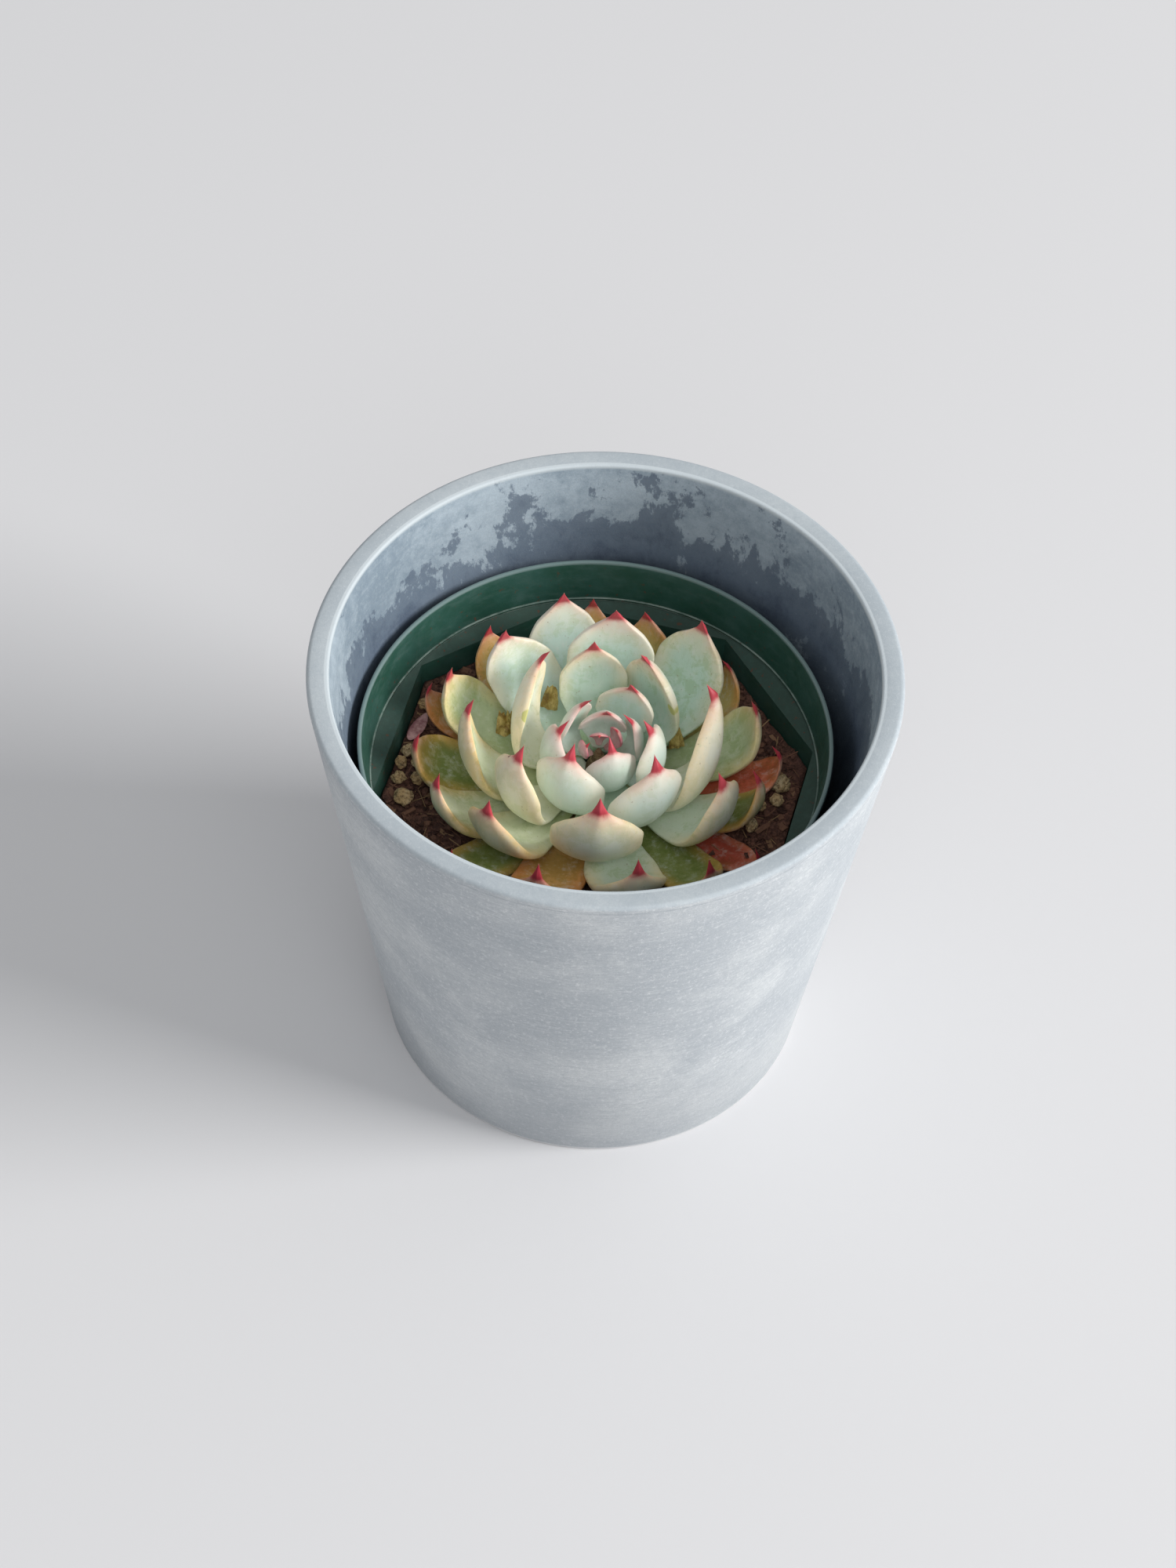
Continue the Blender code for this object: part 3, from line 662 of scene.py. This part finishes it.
def buildSoil():
    low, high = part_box("soil")
    top = soil["topAt"] * mm
    centre = (low.x + high.x) / 2
    wall = (nurseryPot["wall"] + soil["gap"]) * mm
    climb = (soil["topAt"] + soil["bank"] - nurseryPot["base"]) / (nurseryPot["shelf"] - nurseryPot["base"])
    narrow, spread = nurseryPot["baseCorner"], nurseryPot["corner"] - nurseryPot["baseCorner"]
    corner = (narrow + spread * climb) * mm - wall
    soil["top"], soil["corner"] = top, corner
    lowCorner = nurseryPot["baseCorner"] * mm - wall - 1 * mm
    bpy.ops.mesh.primitive_cone_add(vertices=nurseryPot["sides"], radius1=lowCorner, radius2=corner,
                                    depth=top - low.z, end_fill_type="NGON",
                                    location=(0, 0, (top + low.z) / 2))
    piece = bpy.context.object
    piece.name = "soil"
    settle(piece)
    editFaces(piece, lambda middle, normal: normal.z > 0.9)
    step = corner / (soil["rings"] + 1)
    for ring in range(soil["rings"]):
        bpy.ops.mesh.inset(thickness=step)
    leaveEdit()
    pressFlats(piece, lambda co: True)
    for vertex in piece.data.vertices:
        if vertex.co.z > top - 1 * mm:
            vertex.co.z = soilHeight(vertex.co.x, vertex.co.y)
    giveNumbers(piece.data, "tone", [0.45] * len(piece.data.vertices))
    bits = scatterBits(lambda angle: corner * flatsShare(angle))
    selectOnly(piece)
    bpy.ops.object.shade_smooth()
    bits.select_set(True)
    bpy.context.view_layer.objects.active = piece
    bpy.ops.object.join()
    piece.rotation_euler.z = math.radians(nurseryPot["turn"])
    piece.location.x = centre
    settle(piece)
    return piece


soilPiece = buildSoil()
standIn(soilPiece, soilEarth(), "soil")
print("soil is built")


rosette = {"x": -1.0, "y": 2.0}     # the stem's place in mm

# a leaf's outline is its width and depth, as shares of the greatest, at places along it
leaf = {"sides": 44, "rings": 44, "blade": 0.80, "depth": 0.19, "dryDepth": 0.12, "smallest": 8,
        "point": 4.9, "pull": 1.7, "lift": 10, "cup": 0.06, "budLeaves": 8, "oldLeaves": 8,
        "places": (0.0, 0.02, 0.20, 0.40, 0.58, 0.74, 0.87, 0.95, 1.0),
        "widths": (0.24, 0.27, 0.43, 0.77, 0.98, 0.98, 0.74, 0.37, 0.17),
        "depths": (0.28, 0.31, 0.43, 0.74, 0.96, 1.0, 0.84, 0.56, 0.26),
        "worn": (226, 234, 212), "powder": (226, 228, 220), "bloom": (238, 242, 236), "speck": (150, 120, 84),
        "underside": (246, 246, 234), "blush": (238, 172, 158), "tip": (196, 44, 70),
        "dryTip": (206, 150, 130), "scuff": (196, 198, 112), "bruise": (122, 44, 62)}

# the bowls the leaves lie on, bud to soil: root radius and height, then bend radius and height
levels = ((1.2, 97.0, 4.5, 98.5), (2.0, 95.2, 10.5, 93.5), (2.8, 93.4, 16.0, 89.0), (3.5, 91.6, 22.5, 85.5),
          (4.2, 89.8, 29.0, 82.5), (4.8, 88.0, 35.5, 80.5), (5.2, 86.2, 41.5, 79.5), (5.5, 84.4, 46.0, 79.5),
          (5.7, 82.8, 49.0, 80.5))

# leaf colours: middle of the blade, its margin and its foot; the foot's darker green is partly the leaf's own
# greener base and partly painted shade deep in the rosette
shades = {
    "bud": ((206, 160, 162), (206, 84, 112), (160, 128, 122)),
    "heart": ((204, 222, 210), (234, 210, 200), (170, 178, 162)),
    "mint": ((214, 236, 228), (244, 234, 212), (190, 212, 190)),
    "sage": ((200, 224, 210), (238, 228, 196), (168, 194, 164)),
    "cream": ((222, 236, 218), (252, 230, 180), (190, 206, 172)),
    "butter": ((236, 238, 218), (252, 230, 184), (204, 208, 170)),
    "straw": ((216, 224, 192), (244, 208, 140), (172, 184, 134)),
    "olive": ((132, 144, 80), (218, 172, 92), (96, 108, 54)),
    "moss": ((186, 202, 160), (238, 220, 162), (144, 160, 114)),
    "amber": ((204, 188, 120), (232, 168, 94), (150, 150, 82)),
    "rust": ((196, 152, 88), (216, 138, 80), (140, 116, 64)),
    "dry": ((206, 104, 76), (220, 136, 94), (138, 64, 46)),
    "husk": ((188, 86, 66), (214, 128, 94), (122, 58, 44)),
}

# azimuth in degrees, level, blade end's distance and height, width, sideways lean,
# then shade, blush at the end and how much bloom is rubbed off
leaves = (
    (90, 0.0, 0.0, 102.4, 5.0, 0.0, "bud", 1.0, 0.1),
    (200, 0.3, 4.0, 102.0, 6.0, 2.0, "bud", 1.0, 0.1),
    (30, 0.4, 4.5, 103.0, 6.0, -1.0, "bud", 1.0, 0.1),
    (88, 1.1, 6.0, 104.4, 12.5, -1.5, "heart", 0.9, 0.2),
    (16, 1.6, 8.0, 105.3, 11.0, 1.5, "heart", 0.8, 0.2),
    (292, 1.9, 7.2, 106.4, 14.0, 0.5, "heart", 0.9, 0.2),
    (146, 1.9, 7.2, 106.4, 12.0, -4.2, "heart", 0.8, 0.2),
    (196, 2.4, 9.4, 107.4, 15.0, -1.0, "heart", 0.8, 0.3),
    (345, 2.6, 12.3, 108.2, 17.0, 2.0, "mint", 0.7, 0.3),
    (66, 2.5, 14.6, 107.1, 16.0, -2.0, "mint", 0.8, 0.3),
    (242, 3.1, 13.5, 109.3, 20.0, -0.5, "mint", 0.8, 0.3),
    (96, 3.3, 22.0, 111.9, 18.0, 0.0, "sage", 0.6, 0.5),
    (46, 4.0, 20.5, 112.1, 18.5, 5.0, "sage", 0.5, 0.6),
    (300, 3.8, 21.4, 112.0, 21.0, 4.5, "mint", 0.6, 0.4),
    (165, 3.9, 19.0, 111.2, 18.0, -14.0, "butter", 0.5, 0.6),
    (217, 4.5, 24.6, 112.1, 19.0, 0.0, "butter", 0.6, 0.5),
    (87, 4.6, 30.2, 114.9, 23.0, -1.5, "mint", 0.6, 0.4),
    (342, 4.7, 24.0, 111.2, 21.0, 17.0, "butter", 0.5, 0.4),
    (270, 4.9, 32.2, 113.9, 24.0, 1.0, "cream", 0.6, 0.5),
    (124, 5.25, 34.3, 111.9, 20.0, 7.5, "mint", 0.5, 0.5),
    (190, 5.2, 32.2, 110.0, 18.5, -7.5, "straw", 0.5, 0.6),
    (50, 5.4, 39.4, 111.8, 22.0, 0.0, "sage", 0.5, 0.7),
    (228, 5.6, 40.2, 108.8, 20.0, 0.0, "straw", 0.6, 0.6),
    (330, 5.8, 35.7, 108.0, 20.5, 0.5, "cream", 0.5, 0.6),
    (106, 6.4, 41.0, 109.9, 20.0, -0.5, "mint", 0.6, 0.5),
    (151, 6.2, 42.0, 104.9, 17.0, 4.5, "moss", 0.4, 0.7),
    (17, 6.3, 40.6, 103.9, 17.5, -1.5, "moss", 0.4, 0.7),
    (282, 6.4, 42.2, 100.9, 19.5, 2.5, "cream", 0.6, 0.7),
    (207, 6.6, 43.7, 102.8, 17.0, -3.0, "straw", 0.6, 0.8),
    (252, 7.1, 44.9, 99.9, 18.0, 0.0, "rust", 0.7, 0.8),
    (341, 7.3, 41.5, 101.0, 13.5, 3.5, "olive", 0.5, 0.9),
    (70, 7.1, 42.6, 102.0, 15.0, 4.0, "amber", 0.7, 0.8),
    (176, 7.2, 46.1, 99.9, 18.0, 5.0, "olive", 0.5, 0.9),
    (310, 7.5, 47.1, 97.8, 15.5, -1.5, "olive", 0.6, 0.8),
    (128, 7.3, 45.9, 100.9, 15.0, 2.0, "amber", 0.6, 0.8),
    (38, 7.7, 42.3, 100.0, 13.5, 2.0, "amber", 0.6, 0.8),
    (95, 8.0, 47.0, 99.9, 14.0, -1.0, "amber", 0.9, 0.8),
    (227, 8.1, 50.0, 94.8, 15.0, -2.5, "olive", 0.6, 0.8),
    (153, 8.1, 47.7, 96.9, 11.5, 4.0, "rust", 0.6, 0.8),
)
dryLeaves = ((1, 8.3, 45.6, 96.0, 12.5, 1.5, "dry", 0.3, 1.0),
             (328, 8.5, 49.4, 90.2, 11.0, -1.0, "husk", 0.2, 1.0))

# rubbed and bruised spots: the leaf, then the spot's place and radius in mm
leafMarks = {"scuff": (("leaf15", -19.5, 6.9, 103.1, 2.0), ("leaf13", 17.5, 13.6, 100.5, 1.8)),
             "bruise": (("leaf16", -23.8, -10.8, 109.4, 1.0), ("leaf28", 8.5, -38.6, 99.5, 0.7))}


def smoothCurve(places, values):  # a curve through the values that never overshoots them
    x, y = np.array(places, float), np.array(values, float)
    gap = np.diff(x)
    rise = np.diff(y) / gap
    slope = np.zeros(len(x))
    for i in range(1, len(x) - 1):
        if rise[i - 1] * rise[i] > 0:
            first, second = 2 * gap[i] + gap[i - 1], gap[i] + 2 * gap[i - 1]
            slope[i] = (first + second) / (first / rise[i - 1] + second / rise[i])
    slope[0], slope[-1] = rise[0], rise[-1]

    def read(at):
        at = np.clip(at, x[0], x[-1])
        i = np.clip(np.searchsorted(x, at) - 1, 0, len(gap) - 1)
        t = (at - x[i]) / gap[i]
        return ((2 * t**3 - 3 * t**2 + 1) * y[i] + (t**3 - 2 * t**2 + t) * gap[i] * slope[i]
                + (3 * t**2 - 2 * t**3) * y[i + 1] + (t**3 - t**2) * gap[i] * slope[i + 1])
    return read


widthAt = smoothCurve(leaf["places"], leaf["widths"])
depthAt = smoothCurve(leaf["places"], leaf["depths"])


def midline(level, reach, rise):  # a leaf's curve: radius, height, slope and share of its length
    low = min(int(level), len(levels) - 2)
    share = level - low
    rootR, rootZ, bendR, bendZ = ((a + (b - a) * share) * mm for a, b in zip(levels[low], levels[low + 1]))
    t = np.linspace(0, 1, 241)
    r = (1 - t)**2 * rootR + 2 * t * (1 - t) * bendR + t * t * reach
    z = (1 - t)**2 * rootZ + 2 * t * (1 - t) * bendZ + t * t * rise
    climb = (1 - t) * (bendZ - rootZ) + t * (rise - bendZ)
    outward = (1 - t) * (bendR - rootR) + t * (reach - bendR)
    length = np.concatenate(([0], np.cumsum(np.hypot(np.diff(r), np.diff(z)))))
    return r, z, np.arctan2(climb, outward), length / length[-1]


def buildLeaf(name, row, depth, seed, crinkle=0.0):
    azimuth, level, reach, rise, width, lean, shade, blush, wear = row
    reach, rise, width, lean = reach * mm, rise * mm, width * mm, lean * mm
    bpy.ops.mesh.primitive_uv_sphere_add(segments=leaf["sides"], ring_count=leaf["rings"], radius=1)
    piece = bpy.context.object
    piece.name = name
    mesh = piece.data
    ball = np.zeros(len(mesh.vertices) * 3)
    mesh.vertices.foreach_get("co", ball)
    ball = ball.reshape(-1, 3)
    travel = np.arccos(np.clip(-ball[:, 2], -1, 1)) / math.pi
    angle = np.arctan2(ball[:, 1], ball[:, 0])
    part = np.clip(travel / leaf["blade"], 0, 1)
    share = 0.005 + 0.995 * (1 - (1 - part)**1.35)
    spike = np.clip((travel - leaf["blade"]) / (1 - leaf["blade"]), 0, 1)
    big = width > leaf["smallest"] * mm
    tipSlope = midline(level, reach, rise)[2][-1] + math.radians(leaf["lift"])
    if big:              # the long point starts a little before the blade's stated end
        reach -= leaf["pull"] * mm * math.cos(tipSlope)
        rise -= leaf["pull"] * mm * math.sin(tipSlope)
    lineR, lineZ, lineSlope, lineShare = midline(level, reach, rise)
    r, z, slope = (np.interp(share, lineShare, values) for values in (lineR, lineZ, lineSlope))
    point = leaf["point"] * (1 if big else 0.35) * mm
    r = r + spike * point * math.cos(tipSlope)
    z = z + spike * point * math.sin(tipSlope)
    half = widthAt(share) * width / 2
    thick = np.minimum(depthAt(share) * width * depth, 1.7 * half)
    endHalf, endThick = widthAt(1.0) * width / 2, depthAt(1.0) * width * depth
    taper = (1 - spike)**1.3
    half = np.where(spike > 0, endHalf * taper, half)
    roundEnd = endThick + (endHalf * 1.1 - endThick) * np.minimum(spike * 3, 1)
    thick = np.where(spike > 0, roundEnd * taper, thick)
    poles = (travel < 1e-4) | (travel > 1 - 1e-4)
    half = np.where(poles, 0, half)
    thick = np.where(poles, 0, thick)
    across = np.cos(angle)
    up = np.sin(angle)
    keel = 1 + 0.22 * np.clip((share - 0.3) / 0.7, 0, 1) * np.exp(-(across / 0.35)**2)
    lift = np.where(up >= 0, 0.30, -0.70 * keel) * thick * np.abs(up)**0.68
    bowl = (0.5 if big else 0.22) * np.clip(np.sin(slope), 0, None) / np.maximum(r, 3 * mm)
    lift = lift + bowl * (across * half)**2 + leaf["cup"] * half * across**2 * share
    side = lean * share**2.5 + across * half
    # slow swells and a faint waver of the margin
    for i in range(len(lift)):
        spot = Vector((share[i] * 3.1 + seed * 3.7, across[i] * half[i] / (7 * mm) + seed * 1.3, 0.4 * up[i]))
        fade, rooted = 1 - spike[i], min(1, 4 * share[i])
        swell = (0.02 * width + crinkle * 0.5 * mm) * noise.noise(spot)
        lift[i] += swell * fade * rooted * (0.4 + 0.6 * across[i]**2)
        if crinkle:
            lift[i] += crinkle * 0.5 * mm * noise.noise(spot * 4.0) * fade * rooted
            side[i] += crinkle * 0.6 * mm * noise.noise(Vector((share[i] * 7, 5.0, seed))) * fade
    out = r - np.sin(slope) * lift
    turn = math.radians(azimuth)
    x = out * math.cos(turn) - side * math.sin(turn) + rosette["x"] * mm
    y = out * math.sin(turn) + side * math.cos(turn) + rosette["y"] * mm
    points = np.stack((x, y, z + np.cos(slope) * lift), axis=1)
    mesh.vertices.foreach_set("co", points.ravel())
    mesh.update()
    giveNumbers(mesh, "along", share + spike * 0.12)
    for label, marks in leafMarks.items():
        strength = np.zeros(len(share))
        for owner, *spot, size in marks:
            if owner == name:
                away = np.linalg.norm(points - np.array(spot) * mm, axis=1)
                strength = np.maximum(strength, np.clip(1.6 - 1.2 * away / (size * mm), 0, 1))
        giveNumbers(mesh, label, strength)
    giveNumbers(mesh, "across", across)
    giveNumbers(mesh, "upper", up)
    for label, value in (("seed", seed), ("blush", blush), ("wear", wear)):
        giveNumbers(mesh, label, [value] * len(share))
    for label, colour in zip(("middle", "margin", "foot"), shades[shade]):
        store = mesh.attributes.new(label, "FLOAT_COLOR", "POINT")
        store.data.foreach_set("color", np.tile(tint(*colour), (len(share), 1)).ravel())
    editAll(piece)
    bpy.ops.mesh.normals_make_consistent(inside=False)
    leaveEdit()
    bpy.ops.object.shade_smooth()
    return piece


def leafGroup():
    inputs = (("Place", "vector"), ("Along", "number"), ("Across", "number"), ("Upper", "number"),
              ("Seed", "number"), ("Blush", "number"), ("Wear", "number"), ("Scuff", "number"),
              ("Bruise", "number"), ("Middle", "colour"), ("Margin", "colour"), ("Foot", "colour"))
    outputs = (("Colour", "colour"), ("Rough", "number"), ("Height", "number"))
    group, given, made = newGroup("leafSkin", inputs, outputs)
    apart = addNode(group, "ShaderNodeCombineXYZ", None, X=given["Seed"], Y=0.0, Z=0.0).outputs[0]
    moved = addNode(group, "ShaderNodeVectorMath", {"operation": "ADD"}, i0=given["Place"], i1=apart)
    spot = moved.outputs[0]
    along, across = given["Along"], maths(group, "ABSOLUTE", given["Across"])
    broad = cloud(group, spot, 95, 4.0, 0.6)
    mottle = cloud(group, spot, 330, 6.0, 0.72, 0.5)
    fine = cloud(group, spot, 1900, 3.0, 0.6)
    speck = cloud(group, spot, 1300, 2.0, 0.5)
    smear = cloud(group, stretched(group, spot, 420, 420, 110), 1.0, 5.0, 0.7)
    blade = addNode(group, "ShaderNodeCombineXYZ", None, X=times(group, given["Across"], 9.0),
                    Y=times(group, along, 2.2), Z=given["Seed"]).outputs[0]
    lanes = cloud(group, blade, 1.0, 3.0, 0.6)
    uneven = minus(group, mottle, 0.5)

    # foot to middle, with the margin's colour at the sides and the end; the darker foot is partly the leaf's
    # own green and partly painted shade
    shifted = plus(group, along, times(group, minus(group, broad, 0.5), 0.2))
    colour = blendColour(group, span(group, shifted, 0.12, 0.5), given["Foot"], given["Middle"])
    rim = plus(group, across, times(group, uneven, 0.3))
    edge = times(group, span(group, rim, 0.4, 1.0), span(group, along, 0.3, 0.75))
    colour = blendColour(group, times(group, edge, 0.8), colour, given["Margin"])
    colour = blendColour(group, span(group, shifted, 0.74, 0.98, 0.0, 0.7), colour, given["Margin"])

    # the bloom, rubbed off in patches and powdery or smeared elsewhere
    rubbed = plus(group, times(group, mottle, 0.6), times(group, broad, 0.5))
    patch = times(group, span(group, rubbed, 0.54, 0.62), given["Wear"])
    worn = blendColour(group, 1.0, colour, tint(*leaf["worn"]), "MULTIPLY")
    colour = blendColour(group, patch, colour, worn)
    powdered = blendColour(group, 0.5, colour, tint(*leaf["powder"]))
    colour = blendColour(group, span(group, mottle, 0.5, 0.3, 0.0, 0.4), colour, powdered)
    colour = blendColour(group, span(group, lanes, 0.5, 0.75, 0.0, 0.1), colour, given["Foot"])
    colour = layer(group, colour, leaf["bloom"], smear, 0.5, 0.72, 0.32)
    colour = blendColour(group, span(group, smear, 0.46, 0.3, 0.0, 0.3), colour, given["Foot"])
    colour = layer(group, colour, leaf["speck"], speck, 0.7, 0.74, 0.45)
    # undersides paler: partly their own powder, partly painted light on the faces turned from the lamps
    colour = layer(group, colour, leaf["underside"], given["Upper"], 0.05, -0.35, 0.22)

    # pink towards the end, the red point, and the marks
    reach = plus(group, shifted, times(group, across, 0.05))
    pink = times(group, span(group, reach, 0.9, 1.08), given["Blush"])
    colour = blendColour(group, pink, colour, tint(*leaf["blush"]))
    red = span(group, plus(group, along, times(group, uneven, 0.05)), 0.965, 1.015)
    colour = blendColour(group, times(group, red, 0.92), colour, tint(*leaf["tip"]))
    colour = layer(group, colour, leaf["dryTip"], along, 1.095, 1.12)
    colour = layer(group, colour, leaf["scuff"], given["Scuff"], 0.35, 0.6, 0.85)
    colour = layer(group, colour, leaf["bruise"], given["Bruise"], 0.35, 0.6, 0.85)
    group.links.new(colour, made["Colour"])
    rough = plus(group, span(group, mottle, 0.3, 0.7, 0.56, 0.44), times(group, red, -0.1))
    group.links.new(rough, made["Rough"])
    group.links.new(plus(group, times(group, fine, 0.35), times(group, mottle, 0.5)), made["Height"])
    return group


def leafSkin(name, skinGroup, depth):
    material, tree, shader = newMaterial(name, Metallic=0.0, Specular_IOR_Level=0.42)
    colours = {label: addNode(tree, "ShaderNodeAttribute", {"attribute_name": label.lower()}).outputs["Color"]
               for label in ("Middle", "Margin", "Foot")}
    numbers = {label: number(tree, label.lower())
               for label in ("Along", "Across", "Upper", "Seed", "Blush", "Wear", "Scuff", "Bruise")}
    skin = useGroup(tree, skinGroup, Place=objectPlace(tree), **colours, **numbers)
    tree.links.new(skin["Colour"], shader.inputs["Base Color"])
    tree.links.new(skin["Rough"], shader.inputs["Roughness"])
    relief(tree, shader, skin["Height"], depth, 0.5)
    return material


skinGroup = leafGroup()
liveSkin = leafSkin("leafSkin", skinGroup, 0.10 * mm)
drySkin = leafSkin("drySkin", skinGroup, 0.35 * mm)
for count, row in enumerate(leaves, start=1):
    piece = buildLeaf(f"leaf{count:02d}", row, leaf["depth"], count * 0.37)
    standIn(piece, liveSkin, f"leaf_{count:02d}")
for count, row in enumerate(dryLeaves, start=1):
    piece = buildLeaf(f"dryLeaf{count}", row, leaf["dryDepth"], 20 + count, 1.0)
    standIn(piece, drySkin, f"dry_leaf_{count}")
print("leaves are built")


grain = {"dent": 0.32, "pit": 0.34, "levels": 4, "pale": (226, 206, 166), "tan": (206, 178, 132),
         "brown": (186, 146, 98), "hollow": (112, 84, 60)}


def pumiceStone():
    material, tree, shader = newMaterial("pumiceStone", Metallic=0.0, Specular_IOR_Level=0.3, Roughness=0.92)
    spot = objectPlace(tree)
    broad = cloud(tree, spot, 260, 4.0, 0.6)
    pits = cloud(tree, spot, 1500, 4.0, 0.7)
    colour = blendColour(tree, span(tree, broad, 0.35, 0.65), tint(*grain["tan"]), tint(*grain["pale"]))
    browner = span(tree, number(tree, "tone"), 0.0, 1.0, 0.1, 0.6)
    colour = blendColour(tree, browner, colour, tint(*grain["brown"]))
    # painted shade: darker in the pits
    colour = layer(tree, colour, grain["hollow"], pits, 0.54, 0.36, 0.8)
    tree.links.new(colour, shader.inputs["Base Color"])
    relief(tree, shader, pits, 0.4 * mm, 0.8)
    return material


def buildGrain(node, seed):  # fills the CAD grain's box with a pitted, knocked-about stone
    low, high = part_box(node)
    size = high - low
    bpy.ops.mesh.primitive_ico_sphere_add(subdivisions=grain["levels"], radius=0.5)
    piece = bpy.context.object
    piece.name = node.replace("_", "")
    places = [vertex.co.copy() for vertex in piece.data.vertices]
    for vertex, spot in zip(piece.data.vertices, places):
        way = spot.normalized()
        bump = 1 + grain["dent"] * noise.noise(way * 1.4 + Vector((seed * 7.3, seed * 1.9, 0)))
        bump -= 0.22 * abs(noise.noise(way * 2.6 + Vector((seed * 3.1, 4, seed))))
        bump -= grain["pit"] * max(0, noise.noise(way * 4.5 + Vector((0, seed * 2.7, 5))) - 0.1)
        bump -= 0.05 * abs(noise.noise(way * 11 + Vector((seed, 0, 9))))
        vertex.co = spot * bump
    for axis in range(3):
        found = [vertex.co[axis] for vertex in piece.data.vertices]
        least, most = min(found), max(found)
        for vertex in piece.data.vertices:
            vertex.co[axis] = low[axis] + (vertex.co[axis] - least) / (most - least) * size[axis]
    giveNumbers(piece.data, "tone", [(seed * 0.37) % 1.0] * len(piece.data.vertices))
    selectOnly(piece)
    bpy.ops.object.shade_smooth()
    return piece


stone = pumiceStone()
grainNodes = sorted(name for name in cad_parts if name.startswith("grain_"))
for count, node in enumerate(grainNodes, start=1):
    standIn(buildGrain(node, count), stone, node)


shedLeaf = {"levels": 2, "dark": (140, 92, 96), "pale": (206, 164, 160)}


def huskSkin():
    material, tree, shader = newMaterial("huskSkin", Metallic=0.0, Roughness=0.8, Specular_IOR_Level=0.3)
    spot = objectPlace(tree)
    veins = cloud(tree, stretched(tree, spot, 300, 300, 900), 1.0, 5.0, 0.6)
    dark, pale = tint(*shedLeaf["dark"]), tint(*shedLeaf["pale"])
    colour = blendColour(tree, span(tree, veins, 0.35, 0.65), dark, pale)
    tree.links.new(colour, shader.inputs["Base Color"])
    relief(tree, shader, veins, 0.4 * mm, 0.7)
    return material


def copyNode(node, name):  # a copy of a CAD piece to work further, its corners merged
    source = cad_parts[node]
    piece = source.copy()
    piece.data = source.data.copy()
    piece.name = name
    piece.parent = None
    for key in list(piece.keys()):
        if key.startswith("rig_"):
            del piece[key]
    bpy.context.collection.objects.link(piece)
    editAll(piece)
    bpy.ops.mesh.remove_doubles(threshold=0.01 * mm)
    leaveEdit()
    return piece


def smoothFiner(piece, levels):  # rounds a copied CAD piece
    finer = piece.modifiers.new("finer", "SUBSURF")
    finer.levels = levels
    finer.render_levels = levels
    applyModifiers(piece)
    selectOnly(piece)
    bpy.ops.object.shade_smooth()


shedPiece = copyNode("shed_leaf", "shedLeaf")
smoothFiner(shedPiece, shedLeaf["levels"])
standIn(shedPiece, huskSkin(), "shed_leaf")


stem = {"levels": 1, "dark": (92, 70, 50), "pale": (142, 120, 90)}


def barkSkin():
    material, tree, shader = newMaterial("barkSkin", Metallic=0.0, Roughness=0.88, Specular_IOR_Level=0.3)
    spot = objectPlace(tree)
    scars = cloud(tree, stretched(tree, spot, 350, 350, 1200), 1.0, 5.0, 0.65)
    colour = blendColour(tree, span(tree, scars, 0.35, 0.65), tint(*stem["dark"]), tint(*stem["pale"]))
    tree.links.new(colour, shader.inputs["Base Color"])
    relief(tree, shader, scars, 0.5 * mm, 0.8)
    return material


stemPiece = copyNode("stem", "stem")
smoothFiner(stemPiece, stem["levels"])
standIn(stemPiece, barkSkin(), "stem")


# dried scraps of flower stalk between the inner leaves: x, y, z, width, height in mm, and turn
scraps = {"rows": ((-24.6, 13.6, 87.0, 6.2, 7.0, 12), (-14.6, 20.6, 89.6, 4.6, 7.6, -18),
                   (19.4, 12.0, 86.4, 4.2, 6.2, 20)),
          "cuts": 14, "thick": 0.3, "dark": (150, 122, 58), "pale": (206, 186, 118), "blot": (116, 84, 40)}


def scrapSkin():
    material, tree, shader = newMaterial("scrapSkin", Metallic=0.0, Roughness=0.5, Specular_IOR_Level=0.45)
    spot = objectPlace(tree)
    veins = cloud(tree, stretched(tree, spot, 700, 700, 180), 1.0, 5.0, 0.65)
    blot = cloud(tree, spot, 420, 4.0, 0.6)
    dark, pale = tint(*scraps["dark"]), tint(*scraps["pale"])
    colour = blendColour(tree, span(tree, veins, 0.35, 0.65), dark, pale)
    colour = layer(tree, colour, scraps["blot"], blot, 0.52, 0.62, 0.6)
    tree.links.new(colour, shader.inputs["Base Color"])
    relief(tree, shader, veins, 0.3 * mm, 0.8)
    return material


def buildScraps():  # crumpled upright flakes, joined in one piece
    made = []
    for count, (x, y, z, width, height, turn) in enumerate(scraps["rows"]):
        bpy.ops.mesh.primitive_grid_add(x_subdivisions=scraps["cuts"], y_subdivisions=scraps["cuts"], size=1)
        flake = bpy.context.object
        for vertex in flake.data.vertices:
            across, upward = vertex.co.x, vertex.co.y + 0.5
            narrow = 1 - 0.45 * upward**2
            curl = 0.9 * across**2 + 0.25 * noise.noise(Vector((across * 3, upward * 3, count * 5.1)))
            ragged = 1 + 0.35 * noise.noise(Vector((across * 6, 0, count * 3.3)))
            bent = curl * width * 0.6 + upward * height * 0.35
            vertex.co = Vector((across * narrow * width, bent, upward * height * ragged * 0.85)) * mm
        solid = flake.modifiers.new("thickness", "SOLIDIFY")
        solid.thickness = scraps["thick"] * mm
        applyModifiers(flake)
        flake.rotation_euler.z = math.radians(turn)
        flake.location = (x * mm, y * mm, z * mm)
        settle(flake)
        made.append(flake)
    bpy.ops.object.select_all(action="DESELECT")
    for flake in made:
        flake.select_set(True)
    bpy.context.view_layer.objects.active = made[0]
    bpy.ops.object.join()
    made[0].name = "stalkScraps"
    smoothBy(made[0], 60)
    return made[0]


standIn(buildScraps(), scrapSkin(), "stem")
print("grains, shed leaf, stem and scraps are built")
